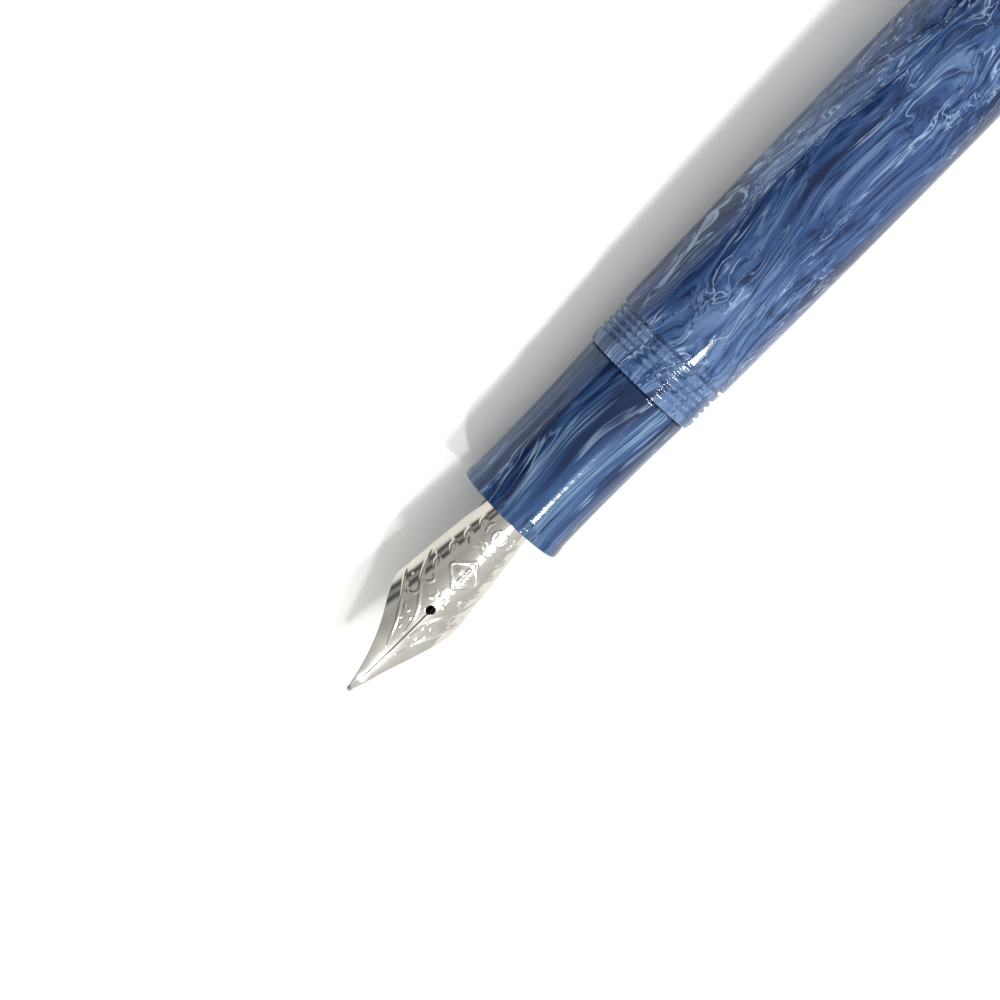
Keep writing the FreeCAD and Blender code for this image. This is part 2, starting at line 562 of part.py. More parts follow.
def make_clip():
    """Clip: a washer under the finial, and the spring arm with its wide bead."""
    ring = turned("clip_ring", [
        ("clip_ring_from", "stud_hole"), ("clip_ring_from", "clip_ring_radius"),
        ("clip_ring_to", "clip_ring_radius"), ("clip_ring_to", "stud_hole")])
    tab = outline(ring, "clip_tab_outline", "YZ", [
        ("-clip_width / 2", "clip_ring_radius - 1.5"), ("clip_width / 2", "clip_ring_radius - 1.5"),
        ("clip_width / 2", "clip_tab_radius"), ("-clip_width / 2", "clip_tab_radius")],
        "clip_ring_from")
    extrude(ring, "clip_tab", tab, "clip_ring_to - clip_ring_from")
    arm = new_body("clip_arm")
    side = outline(arm, "clip_side", "XZ", [
        ("clip_ring_to", "clip_foot"), ("clip_ring_to", "clip_low"),
        ("clip_ring_to - 0.8", "clip_high"), ("bead_at", "clip_high"),
        ("bead_at", "clip_low"), ("clip_ring_from - 0.4", "clip_low"),
        ("clip_ring_from", "clip_low - 0.4"), ("clip_ring_from", "clip_foot")])
    extrude(arm, "clip_strip", side, "clip_width", both_sides=True)
    for name, way in (("left", ""), ("right", "-")):
        trim = outline(arm, "clip_taper_" + name, "XY", [
            ("bead_at - 2", way + "clip_tip_width / 2"),
            ("clip_ring_from - 1", way + "clip_width / 2"),
            ("clip_ring_from - 1", way + "3"), ("bead_at - 2", way + "3")])
        extrude(arm, "clip_taper_cut_" + name, trim, "30", cut=True, both_sides=True)
    bead = ring_sketch(arm, "clip_bead_round", "XZ", "bead_at", "bead_rise", "bead_radius")
    extrude(arm, "clip_bead", bead, "bead_width", both_sides=True)
    for body in (ring, arm):
        body.Placement = Placement(Vector(), Rotation(Vector(1, 0, 0), size("clip_turn")))
        body.setExpression("Placement.Rotation.Angle", named("clip_turn"))
    return [ring, arm]


# ---- build, place, check, export --------------------------------------------------------

fill_sheet()
nodes = [make_nib(), make_tipping(), make_feed(), make_housing(), make_section(), make_seal(),
         make_barrel()] + make_converter() + make_cap() + make_clip()
for node in nodes:
    node.setExpression("Placement.Base.x", named("-total_length / 2"))
    node.setExpression("Placement.Base.z", named("axis_height"))
doc.recompute()

for item in doc.Objects:
    if "Invalid" in item.State or "Error" in item.State:
        raise RuntimeError("%s did not build: %s" % (item.Name, item.State))
os.makedirs("parts", exist_ok=True)
for node in nodes:
    node.Label = node.Name
    if node.Shape.isNull() or not node.Shape.isValid():
        raise RuntimeError("%s has no valid shape" % node.Name)
    node.Shape.exportStep(os.path.join("parts", node.Label + ".step"))
    print("%-22s %d solid(s) %9.2f mm3" % (node.Label, len(node.Shape.Solids), node.Shape.Volume))
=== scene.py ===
"""Fountain pen with an engraved steel nib, marbled resin body, ink converter and posted cap.

Lengths inside the classes are in millimetres: "at" runs along the pen from the tip of the nib,
"radius" is measured from the pen's axis. PenSpace turns them into metres in the row frame.
"""

import logging
import math
from dataclasses import dataclass, field
from enum import Enum
from typing import Callable, Optional, Sequence

import bmesh
import bpy
import numpy as np
from mathutils import Matrix, Vector


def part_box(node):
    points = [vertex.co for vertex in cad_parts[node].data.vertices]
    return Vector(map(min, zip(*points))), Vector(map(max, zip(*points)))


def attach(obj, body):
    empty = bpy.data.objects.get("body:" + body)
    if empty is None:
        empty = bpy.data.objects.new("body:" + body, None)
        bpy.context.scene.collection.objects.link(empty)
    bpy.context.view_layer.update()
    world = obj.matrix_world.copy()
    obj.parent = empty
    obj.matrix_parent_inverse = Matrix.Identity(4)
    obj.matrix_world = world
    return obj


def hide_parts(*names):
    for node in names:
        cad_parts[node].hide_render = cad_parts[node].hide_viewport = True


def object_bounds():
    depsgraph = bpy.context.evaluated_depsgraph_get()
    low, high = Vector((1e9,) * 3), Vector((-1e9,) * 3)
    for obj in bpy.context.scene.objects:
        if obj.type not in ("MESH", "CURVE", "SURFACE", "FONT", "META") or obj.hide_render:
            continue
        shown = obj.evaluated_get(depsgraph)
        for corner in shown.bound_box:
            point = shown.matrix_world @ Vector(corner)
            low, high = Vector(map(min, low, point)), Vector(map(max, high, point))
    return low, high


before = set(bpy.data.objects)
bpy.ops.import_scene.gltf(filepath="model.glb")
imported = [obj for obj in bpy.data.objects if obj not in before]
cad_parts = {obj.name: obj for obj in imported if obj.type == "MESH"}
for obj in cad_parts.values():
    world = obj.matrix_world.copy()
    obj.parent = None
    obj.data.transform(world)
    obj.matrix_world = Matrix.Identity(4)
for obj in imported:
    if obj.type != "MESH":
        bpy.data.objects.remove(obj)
CAD_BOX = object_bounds()
LOG = logging.getLogger("fountain_pen")
Array = np.ndarray
Ripple = Callable[[Array, Array, Array], Array]
Socket = bpy.types.NodeSocket | bpy.types.Node
TAU = 2.0 * math.pi
MM = 1000.0  # millimetres in a metre
PLAIN_FILLET = 0.04
SUPPORT_GAP = 0.04


# ---------------------------------------------------------------------------------------------
# places and meshes
# ---------------------------------------------------------------------------------------------

@dataclass(frozen=True)
class PenSpace:
    """Turns pen millimetres into metres in the row frame."""

    tip_x: float
    axis_z: float

    @staticmethod
    def from_frame() -> "PenSpace":
        """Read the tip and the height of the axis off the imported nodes.

        Returns:
            The space of this pen.
        """
        low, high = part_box("barrel")
        return PenSpace(CAD_BOX[0].x, (low.z + high.z) / 2.0)

    def place(self, at: Array, side: Array, up: Array) -> Array:
        """Stack coordinates into points in metres.

        Args:
            at: Distance along the pen from the nib's tip.
            side: Distance to the left of the axis.
            up: Distance above the axis.

        Returns:
            Points, one row each.
        """
        at, side, up = np.broadcast_arrays(at, side, up)
        return np.stack([self.tip_x + at / MM, side / MM,
                         self.axis_z + up / MM], axis=-1).reshape(-1, 3)

    def point(self, at: float, side: float, up: float) -> Vector:
        """One point in metres."""
        return Vector((self.tip_x + at / MM, side / MM, self.axis_z + up / MM))


SPACE = PenSpace.from_frame()


def grid_quads(rows: int, cols: int, wrap_rows: bool = False, wrap_cols: bool = False) -> Array:
    """Corner numbers of the quads of a grid whose vertices run row by row.

    Args:
        rows: Number of vertex rows.
        cols: Number of vertices in a row.
        wrap_rows: Join the last row to the first.
        wrap_cols: Join the last column to the first.

    Returns:
        Quads, one row of four numbers each.
    """
    i = np.arange(rows if wrap_rows else rows - 1)[:, None]
    j = np.arange(cols if wrap_cols else cols - 1)[None, :]
    down, right = (i + 1) % rows, (j + 1) % cols
    return np.stack([i * cols + j, down * cols + j, down * cols + right, i * cols + right],
                    axis=-1).reshape(-1, 4)


def facing_out(points: Array, faces: Array) -> Array:
    """Turn all faces over if the closed shape they bound has a negative volume."""
    a, b, c = points[faces[:, 0]], points[faces[:, 1]], points[faces[:, 2]]
    d = points[faces[:, -1]]
    volume = np.einsum("ij,ij->i", a, np.cross(b, c)) + np.einsum("ij,ij->i", a, np.cross(c, d))
    return faces[:, ::-1] if volume.sum() < 0 else faces


def tube_with_ends(points: Array, rows: int, cols: int) -> tuple[Array, list[Array]]:
    """Close a tube of rings with one face at each end, all facing outwards.

    Args:
        points: The rings' points, ring after ring.
        rows: Number of rings.
        cols: Number of points in a ring.

    Returns:
        The points and arrays of faces.
    """
    quads = grid_quads(rows, cols, False, True)
    ends = [np.arange(cols)[None, :], (np.arange(cols) + (rows - 1) * cols)[None, ::-1]]
    if facing_out(points, quads) is not quads:
        return points, [quads[:, ::-1]] + ends
    return points, [quads] + [e[:, ::-1] for e in ends]


def new_piece(name: str, parts: Sequence[tuple[Array, Sequence[Array]]]) -> bpy.types.Object:
    """Make one smooth-shaded object from closed shells.

    Args:
        name: Name of the piece.
        parts: For each shell, its points and its arrays of faces.

    Returns:
        The new object, at the origin.
    """
    points, faces, start = [], [], 0
    for shell, groups in parts:
        for group in groups:
            faces.extend((group + start).tolist())
        points.append(shell)
        start += len(shell)
    mesh = bpy.data.meshes.new(name)
    mesh.from_pydata(np.concatenate(points).tolist(), [], faces)
    mesh.polygons.foreach_set("use_smooth", np.ones(len(mesh.polygons), dtype=bool))
    mesh.update()
    piece = bpy.data.objects.new(name, mesh)
    bpy.context.scene.collection.objects.link(piece)
    return piece


def smooth_through(xs: Sequence[float], ys: Sequence[float], x: Array) -> Array:
    """Curve through points without overshoot: cubic pieces whose slopes are harmonic means.

    Args:
        xs: Rising places of the known values.
        ys: The known values.
        x: Places where the value is wanted.

    Returns:
        The values at x.
    """
    xs, ys = np.asarray(xs, float), np.asarray(ys, float)
    step, rise = np.diff(xs), np.diff(ys)
    secant = rise / step
    slope = np.zeros_like(ys)
    slope[0], slope[-1] = secant[0], secant[-1]
    product = secant[:-1] * secant[1:]
    total = secant[:-1] + secant[1:]
    slope[1:-1] = np.where(product > 0, 2.0 * product / np.where(total == 0, 1.0, total), 0.0)
    k = np.clip(np.searchsorted(xs, x) - 1, 0, len(xs) - 2)
    t = np.clip((x - xs[k]) / step[k], 0.0, 1.0)
    t2, t3 = t * t, t * t * t
    return ((2 * t3 - 3 * t2 + 1) * ys[k] + (t3 - 2 * t2 + t) * step[k] * slope[k]
            + (3 * t2 - 2 * t3) * ys[k + 1] + (t3 - t2) * step[k] * slope[k + 1])


def rounded_path(corners: Sequence[Sequence[float]], closed: bool, step: float) -> Array:
    """Outline with an arc at each corner and even points along each straight run.

    The arc touches both runs where they are cut back by fillet times the tangent of half the
    turn. A support point stands close to each end of a run, so that flats stay flat when shaded.

    Args:
        corners: Rows of at, radius and, if the corner is rounded, the fillet.
        closed: Whether the last corner joins the first.
        step: Longest distance between points of a run.

    Returns:
        Points of the outline.
    """
    spots = np.array([c[:2] for c in corners], float)
    fillets = [c[2] if len(c) > 2 else PLAIN_FILLET for c in corners]
    count = len(spots)
    arcs = []
    for i in range(count):
        if not closed and i in (0, count - 1):
            arcs.append(spots[i:i + 1])
            continue
        here, before, after = spots[i], spots[i - 1], spots[(i + 1) % count]
        u, v = before - here, after - here
        lu, lv = np.linalg.norm(u), np.linalg.norm(v)
        u, v = u / lu, v / lv
        turn = math.pi - math.acos(float(np.clip(u @ v, -1, 1)))
        cut = min(fillets[i] * math.tan(turn / 2), 0.42 * lu, 0.42 * lv)
        if turn < 0.02 or cut < 1e-4:
            arcs.append(spots[i:i + 1])
            continue
        t = np.linspace(0, 1, max(3, int(turn / 0.25) + 2))[:, None]
        arcs.append((1 - t) ** 2 * (here + u * cut) + 2 * t * (1 - t) * here
                    + t ** 2 * (here + v * cut))
    runs = []
    for i in range(count):
        runs.append(arcs[i])
        if not closed and i == count - 1:
            break
        first, last = arcs[i][-1], arcs[(i + 1) % count][0]
        length = float(np.linalg.norm(last - first))
        if length < 0.12:
            continue
        edge = min(SUPPORT_GAP, length / 4) / length
        inner = np.linspace(edge, 1 - edge, max(2, int(math.ceil(length / step)) + 1))
        runs.append(first + (last - first) * inner[:, None])
    return np.concatenate(runs)


def thread_cut(at: Array, turn: Array, start: float, length: float, pitch: float,
               half_mouth: float, depth: float) -> Array:
    """Depth of a V thread: falls off linearly from the helix at = start + pitch x turns.

    Args:
        at: Place along the axis.
        turn: Angle round the axis.
        start: Where the helix starts.
        length: How far it runs.
        pitch: Advance in one turn.
        half_mouth: Half the width of the groove at the surface.
        depth: Depth at the middle of the groove.

    Returns:
        Depth of the cut, never negative.
    """
    phase = (at - start) / pitch - turn / TAU
    lap = np.round(phase)
    off = np.abs(phase - lap) * pitch
    along = (lap + turn / TAU) * pitch
    fade = np.clip(along / (0.4 * pitch), 0, 1) * np.clip((length - along) / (0.4 * pitch), 0, 1)
    fade = fade * fade * (3 - 2 * fade)
    groove = np.clip(1.0 - off / half_mouth, 0.0, 1.0)
    return depth * fade * groove ** 1.15


@dataclass
class Lathe:
    """A turned piece: an outline carried round the pen's axis."""

    name: str
    corners: Sequence[Sequence[float]]
    around: int = 160
    step: float = 1.0
    ripple: Optional[Ripple] = None

    def shell(self) -> tuple[Array, list[Array]]:
        """Surface of turning: side = radius x cosine, up = radius x sine of the turn angle.

        Returns:
            Points and arrays of faces. Ends on the axis are closed by one point each.
        """
        closed = self.corners[0][1] > 0 or self.corners[-1][1] > 0
        path = rounded_path(self.corners, closed, self.step)
        poles = [] if closed else [path[0], path[-1]]
        rows = path if closed else path[1:-1]
        turn = np.arange(self.around)[None, :] * TAU / self.around
        at, radius = rows[:, 0:1] + 0 * turn, rows[:, 1:2] + 0 * turn
        if self.ripple:
            radius = radius + self.ripple(at, turn + 0 * at, radius)
        points = SPACE.place(at, radius * np.cos(turn), radius * np.sin(turn))
        quads = grid_quads(len(rows), self.around, closed, True)
        groups = [quads]
        for k, pole in enumerate(poles):
            j = np.arange(self.around)
            ring = (0 if k == 0 else (len(rows) - 1) * self.around)
            tip = np.full_like(j, len(points))
            points = np.vstack([points, SPACE.place(pole[0], 0.0, 0.0)])
            pair = (ring + (j + 1) % self.around, ring + j)
            groups.append(np.stack([tip, *(pair if k == 0 else pair[::-1])], axis=-1))
        if facing_out(points, quads) is not quads:
            groups = [g[:, ::-1] for g in groups]
        return points, groups

    def build(self) -> bpy.types.Object:
        """Make the object."""
        return new_piece(self.name, [self.shell()])


# ---------------------------------------------------------------------------------------------
# materials
# ---------------------------------------------------------------------------------------------

class Graph:
    """Short way to add nodes and links to a node tree."""

    def __init__(self, tree: bpy.types.NodeTree) -> None:
        """Take the tree that nodes go into."""
        self.tree = tree

    def feed(self, node: bpy.types.Node, inputs: dict) -> None:
        """Set or link a node's inputs, by name or number."""
        for key, value in inputs.items():
            if isinstance(value, bpy.types.NodeSocket):
                self.tree.links.new(value, node.inputs[key])
            else:
                node.inputs[key].default_value = value

    def add(self, kind: str, inputs: Optional[dict] = None, out: object = 0,
            **settings: object) -> Socket:
        """Add a node.

        Args:
            kind: Type name of the node, without the leading ShaderNode.
            inputs: Values or sockets, by input name or number.
            out: Name or number of the output to return, or None for the node itself.
            settings: Properties of the node.

        Returns:
            The chosen output socket, or the node.
        """
        node = self.tree.nodes.new(kind if kind.startswith("Node") else "ShaderNode" + kind)
        for key, value in settings.items():
            setattr(node, key, value)
        self.feed(node, inputs or {})
        return node if out is None else node.outputs[out]

    def math(self, operation: str, a: object, b: object = 0.0, c: object = 0.0,
             clamp: bool = False) -> Socket:
        """Add a Math node and return its value."""
        return self.add("Math", {0: a, 1: b, 2: c}, operation=operation, use_clamp=clamp)

    def vector(self, operation: str, a: object, b: object = (0.0, 0.0, 0.0),
               scale: object = 1.0) -> Socket:
        """Add a Vector Math node and return its first output."""
        inputs = {0: a, "Scale": scale} if operation == "SCALE" else {0: a, 1: b}
        return self.add("VectorMath", inputs, operation=operation,
                        out=1 if operation == "DOT_PRODUCT" else 0)

    def mix(self, share: object, a: object, b: object) -> Socket:
        """Mix two colours."""
        return self.add("Mix", {"Factor": share, 6: a, 7: b}, out=2, data_type="RGBA")

    def ramp(self, value: object, low: float, high: float) -> Socket:
        """Smooth step from 0 at low to 1 at high."""
        return self.add("MapRange", {"Value": value, "From Min": low, "From Max": high},
                        interpolation_type="SMOOTHSTEP")

    def noise(self, place: object, scale: float, detail: float, roughness: float = 0.5,
              out: object = 0) -> Socket:
        """Add a Noise Texture and return its value, or its colour."""
        return self.add("TexNoise", {"Vector": place, "Scale": scale, "Detail": detail,
                                     "Roughness": roughness}, out=out)


class Effect(Enum):
    """Shared surface effects, each a node group built once."""

    MARBLE = "marbled_flow"
    POLISH = "polish_marks"
    GRAIN = "moulded_grain"


def new_group(effect: Effect, inputs: Sequence[tuple[str, str, object]],
              outputs: Sequence[tuple[str, str]]) -> tuple[Graph, bpy.types.Node,
                                                           bpy.types.Node]:
    """Start a node group with its sockets.

    Args:
        effect: Which effect the group holds.
        inputs: Name, socket type and default of each input.
        outputs: Name and socket type of each output.

    Returns:
        The graph, the input node and the output node.
    """
    tree = bpy.data.node_groups.new(effect.value, "ShaderNodeTree")
    for name, kind, value in inputs:
        socket = tree.interface.new_socket(name, in_out="INPUT", socket_type=kind)
        if value is not None:
            socket.default_value = value
    for name, kind in outputs:
        tree.interface.new_socket(name, in_out="OUTPUT", socket_type=kind)
    graph = Graph(tree)
    return graph, graph.add("NodeGroupInput", out=None), graph.add("NodeGroupOutput", out=None)


def build_marble() -> bpy.types.NodeTree:
    """Flowing strands of poured resin.

    The place is folded twice by soft noise. Noise over the folded place, drawn out along the
    flow, gives broad strands and hair-thin ones. Thin veins lie where a third such noise passes
    a fixed level, and a slow noise gathers them into patches.

    Returns:
        The node group: Tone, Light and Dark, each from 0 to 1.
    """
    g, start, end = new_group(Effect.MARBLE, [
        ("Vector", "NodeSocketVector", None), ("Stretch", "NodeSocketFloat", 3.0),
        ("Fold", "NodeSocketFloat", 1.0), ("Fineness", "NodeSocketFloat", 1.0),
        ("Seed", "NodeSocketFloat", 0.0)],
        [("Tone", "NodeSocketFloat"), ("Light", "NodeSocketFloat"), ("Dark", "NodeSocketFloat")])
    o = start.outputs
    squeeze = g.add("CombineXYZ", {0: g.math("DIVIDE", 1.0, o["Stretch"]), 1: 1.0, 2: 1.0})
    place = g.vector("MULTIPLY", o["Vector"], squeeze)
    place = g.vector("SCALE", place, scale=o["Fineness"])
    place = g.vector("ADD", place, g.add("CombineXYZ", {0: o["Seed"], 1: o["Seed"], 2: 0.0}))

    def folded(vector: object, scale: float, amount: float, detail: float) -> Socket:
        """Push a place about by noise."""
        push = g.noise(vector, scale, detail, out="Color")
        push = g.vector("SUBTRACT", push, (0.5, 0.5, 0.5))
        return g.vector("ADD", vector, g.vector("SCALE", push,
                                                scale=g.math("MULTIPLY", o["Fold"], amount)))

    bent = folded(place, 0.085, 13.0, 1.0)
    bent = folded(bent, 0.27, 4.6, 1.5)
    strand = g.vector("MULTIPLY", bent, (0.13, 1.0, 1.0))
    drift = g.noise(g.vector("MULTIPLY", bent, (0.5, 1.0, 1.0)), 0.17, 1.5)
    broad = g.noise(strand, 0.62, 2.0, 0.55)
    hair = g.noise(g.vector("ADD", strand, (7.0, 3.0, 5.0)), 2.1, 4.0, 0.6)
    lines = g.noise(g.vector("ADD", strand, (31.0, 17.0, 9.0)), 0.95, 2.5, 0.55)
    patch = g.noise(bent, 0.24, 2.0, 0.6)
    tone = g.math("MULTIPLY_ADD", drift, 1.7, -0.9)
    tone = g.math("MULTIPLY_ADD", broad, 1.7, tone)
    tone = g.math("MULTIPLY_ADD", hair, 1.25, tone)
    tone = g.math("SUBTRACT", tone, 0.92, clamp=True)
    thin = g.math("ABSOLUTE", g.math("SUBTRACT", lines, 0.5))
    light = g.math("MULTIPLY", g.math("SUBTRACT", 1.0, g.ramp(thin, 0.0, 0.026)),
                   g.ramp(patch, 0.4, 0.56))
    light = g.math("MAXIMUM", light, g.math("MULTIPLY", g.ramp(hair, 0.6, 0.72),
                                            g.ramp(patch, 0.46, 0.58)))
    other = g.math("ABSOLUTE", g.math("SUBTRACT", lines, 0.43))
    dark = g.math("MULTIPLY", g.math("SUBTRACT", 1.0, g.ramp(other, 0.0, 0.028)),
                  g.ramp(g.math("SUBTRACT", 1.0, patch), 0.4, 0.56))
    dark = g.math("MAXIMUM", dark, g.ramp(g.math("SUBTRACT", 1.0, hair), 0.58, 0.7))
    for name, value in (("Tone", tone), ("Light", light), ("Dark", dark)):
        g.tree.links.new(value, end.inputs[name])
    return g.tree


def build_polish() -> bpy.types.NodeTree:
    """Fine marks of use and polishing: thin stretched noise and faint cloudy patches.

    Returns:
        The node group: Roughness and Height.
    """
    g, start, end = new_group(Effect.POLISH, [
        ("Vector", "NodeSocketVector", None), ("Scale", "NodeSocketFloat", 1.0),
        ("Base", "NodeSocketFloat", 0.1), ("Spread", "NodeSocketFloat", 0.05)],
        [("Roughness", "NodeSocketFloat"), ("Height", "NodeSocketFloat")])
    o = start.outputs
    long_way = g.vector("MULTIPLY", g.vector("SCALE", o["Vector"], scale=o["Scale"]),
                        (0.35, 2.6, 2.6))
    marks = g.noise(long_way, 3.0, 6.0, 0.7)
    cloud = g.noise(o["Vector"], 0.55, 3.0)
    rough = g.math("MULTIPLY_ADD", g.math("ADD", g.math("MULTIPLY", marks, 0.6),
                                          g.math("MULTIPLY_ADD", cloud, 0.9, -0.75)),
                   o["Spread"], o["Base"])
    g.tree.links.new(rough, end.inputs["Roughness"])
    g.tree.links.new(marks, end.inputs["Height"])
    return g.tree


def build_grain() -> bpy.types.NodeTree:
    """Matte grain of moulded plastic and rubber: small cells over fine noise.

    Returns:
        The node group: Tone and Height.
    """
    g, start, end = new_group(Effect.GRAIN, [
        ("Vector", "NodeSocketVector", None), ("Scale", "NodeSocketFloat", 1.0)],
        [("Tone", "NodeSocketFloat"), ("Height", "NodeSocketFloat")])
    place = g.vector("SCALE", start.outputs["Vector"], scale=start.outputs["Scale"])
    cells = g.add("TexVoronoi", {"Vector": place, "Scale": 6.0})
    noise = g.noise(place, 2.2, 5.0)
    g.tree.links.new(noise, end.inputs["Tone"])
    g.tree.links.new(g.math("MULTIPLY_ADD", cells, 0.6, noise), end.inputs["Height"])
    return g.tree


GROUPS = {Effect.MARBLE: build_marble(), Effect.POLISH: build_polish(),
          Effect.GRAIN: build_grain()}


@dataclass(frozen=True)
class Finish:
    """What every finish has: a name, and a surface built from millimetre coordinates."""

    name: str

    def surface(self, g: Graph, place: object, shader: bpy.types.Node) -> None:
        """Wire the surface; each finish says how."""
        raise NotImplementedError

    def material(self) -> bpy.types.Material:
        """Build the material, or find it if it exists.

        Returns:
            The material.
        """
        if self.name in bpy.data.materials:
            return bpy.data.materials[self.name]
        made = bpy.data.materials.new(self.name)
        made.use_nodes = True
        made.node_tree.nodes.clear()
        g = Graph(made.node_tree)
        place = g.vector("SCALE", g.add("TexCoord", out="Object"), scale=MM)
        shader = g.add("BsdfPrincipled", out=None)
        end = g.add("OutputMaterial", out=None)
        made.node_tree.links.new(shader.outputs[0], end.inputs["Surface"])
        self.surface(g, place, shader)
        return made

    def group(self, g: Graph, effect: Effect, inputs: dict) -> bpy.types.Node:
        """Place a shared effect in a material."""
        node = g.add("Group", out=None, node_tree=GROUPS[effect])
        g.feed(node, inputs)
        return node

    def bump(self, g: Graph, shader: bpy.types.Node, height: object, strength: float,
             depth: float) -> None:
        """Feed a height into the normal of the shader."""
        normal = g.add("Bump", {"Height": height, "Strength": strength,
                                "Distance": depth / MM})
        g.tree.links.new(normal, shader.inputs["Normal"])


@dataclass(frozen=True)
class MarbledResin(Finish):
    """Polished resin with flowing blue strands."""

    deep: tuple[float, float, float]
    middle: tuple[float, float, float]
    pale: tuple[float, float, float]
    vein: tuple[float, float, float] = (0.42, 0.52, 0.72)
    stretch: float = 2.6
    fold: float = 1.0
    fineness: float = 1.0
    seed: float = 0.0
    nose: float = 0.0

    def surface(self, g: Graph, place: object, shader: bpy.types.Node) -> None:
        """Blend three blues by the tone of the flow and lay the thin veins over them."""
        flow = self.group(g, Effect.MARBLE, {
            "Vector": place, "Stretch": self.stretch, "Fold": self.fold,
            "Fineness": self.fineness, "Seed": self.seed})
        along = g.add("SeparateXYZ", {0: place})
        nose_x = (SPACE.tip_x + 0.048) * MM
        lift = g.math("SUBTRACT", 1.0, g.ramp(along, nose_x, nose_x + 1.6))
        tone = g.math("MULTIPLY_ADD", lift, self.nose, flow.outputs["Tone"])
        colour = g.mix(g.ramp(tone, 0.15, 0.52), (*self.deep, 1), (*self.middle, 1))
        colour = g.mix(g.ramp(tone, 0.48, 0.95), colour, (*self.pale, 1))
        dark = g.math("MULTIPLY", flow.outputs["Dark"], 0.85)
        colour = g.mix(dark, colour, (self.deep[0] * 0.5, self.deep[1] * 0.5,
                                      self.deep[2] * 0.6, 1))
        colour = g.mix(g.math("MULTIPLY", flow.outputs["Light"], 0.8), colour, (*self.vein, 1))
        g.tree.links.new(colour, shader.inputs["Base Color"])
        polish = self.group(g, Effect.POLISH, {"Vector": place, "Base": 0.045, "Spread": 0.05})
        g.tree.links.new(polish.outputs["Roughness"], shader.inputs["Roughness"])
        self.bump(g, shader, polish.outputs["Height"], 0.012, 0.01)
        shader.inputs["IOR"].default_value = 1.5
        shader.inputs["Coat Weight"].default_value = 0.1
        shader.inputs["Coat Roughness"].default_value = 0.03


@dataclass(frozen=True)
class Metal(Finish):
    """Polished or turned metal with fine marks."""

    colour: tuple[float, float, float]
    tint: tuple[float, float, float]
    roughness: float = 0.12
    spread: float = 0.06
    marks: float = 0.1
    scale: float = 1.0

    def surface(self, g: Graph, place: object, shader: bpy.types.Node) -> None:
        """Metal whose colour and roughness drift a little along fine polishing marks."""
        polish = self.group(g, Effect.POLISH, {
            "Vector": place, "Scale": self.scale, "Base": self.roughness,
            "Spread": self.spread})
        cloud = g.noise(place, 0.35, 3.0)
        g.tree.links.new(g.mix(g.ramp(cloud, 0.35, 0.65), (*self.colour, 1), (*self.tint, 1)),
                         shader.inputs["Base Color"])
        g.tree.links.new(polish.outputs["Roughness"], shader.inputs["Roughness"])
        shader.inputs["Metallic"].default_value = 1.0
        self.bump(g, shader, polish.outputs["Height"], self.marks, 0.004)


@dataclass(frozen=True)
class Moulded(Finish):
    """Moulded plastic or rubber with a matte grain."""

    colour: tuple[float, float, float]
    roughness: float = 0.45
    grain: float = 0.25
    scale: float = 1.0
    clear: float = 0.0

    def surface(self, g: Graph, place: object, shader: bpy.types.Node) -> None:
        """Plain colour that drifts slightly, grain in the height, optional clearness."""
        grain = self.group(g, Effect.GRAIN, {"Vector": place, "Scale": self.scale})
        worn = tuple(min(1.0, c * 1.35 + 0.012) for c in self.colour)
        tone = g.ramp(grain.outputs["Tone"], 0.35, 0.68)
        g.tree.links.new(g.mix(tone, (*self.colour, 1), (*worn, 1)),
                         shader.inputs["Base Color"])
        g.tree.links.new(g.math("MULTIPLY_ADD", grain.outputs["Tone"], 0.16,
                                self.roughness - 0.08), shader.inputs["Roughness"])
        self.bump(g, shader, grain.outputs["Height"], self.grain, 0.01)
        shader.inputs["Transmission Weight"].default_value = self.clear
        shader.inputs["IOR"].default_value = 1.49


BARREL_RESIN = MarbledResin("barrel_marbled_resin", deep=(0.0045, 0.0190, 0.0700),
                            middle=(0.0250, 0.0620, 0.1700), pale=(0.0950, 0.1600, 0.3000),
                            vein=(0.30, 0.40, 0.55), nose=0.25)
SECTION_RESIN = MarbledResin("section_marbled_resin", deep=(0.0032, 0.0130, 0.0500),
                             middle=(0.0170, 0.0500, 0.1400), pale=(0.0620, 0.1200, 0.2300),
                             vein=(0.20, 0.29, 0.41), stretch=4.6, fold=0.62, fineness=0.85,
                             seed=7.3)
NIB_STEEL = Metal("nib_polished_steel", colour=(0.91, 0.88, 0.815), tint=(0.82, 0.79, 0.73),
                  roughness=0.16, spread=0.07, marks=0.12)
HARD_TIP = Metal("tipping_alloy", colour=(0.72, 0.72, 0.70), tint=(0.62, 0.62, 0.61),
                 roughness=0.2, spread=0.1, scale=4.0)
TRIM_STEEL = Metal("trim_bright_steel", colour=(0.74, 0.74, 0.73), tint=(0.66, 0.66, 0.66),
                   roughness=0.07, spread=0.05, marks=0.05)
BRASS = Metal("stud_turned_brass", colour=(0.78, 0.56, 0.25), tint=(0.66, 0.46, 0.19),
              roughness=0.22, spread=0.12, marks=0.3)
FEED_BLACK = Moulded("feed_black_plastic", colour=(0.013, 0.013, 0.014), roughness=0.38)
CONVERTER_BLACK = Moulded("converter_black_plastic", colour=(0.011, 0.011, 0.012),
                          roughness=0.25, grain=0.1)
CLEAR_TUBE = Moulded("converter_clear_tube", colour=(0.93, 0.95, 0.96), roughness=0.1,
                     grain=0.03, clear=0.95)
ROD_PLASTIC = Moulded("rod_white_plastic", colour=(0.62, 0.61, 0.57), roughness=0.4)
LINER_BLACK = Moulded("liner_black_plastic", colour=(0.02, 0.02, 0.022), roughness=0.5)
RUBBER = Moulded("seal_black_rubber", colour=(0.016, 0.016, 0.016), roughness=0.68, grain=0.5)


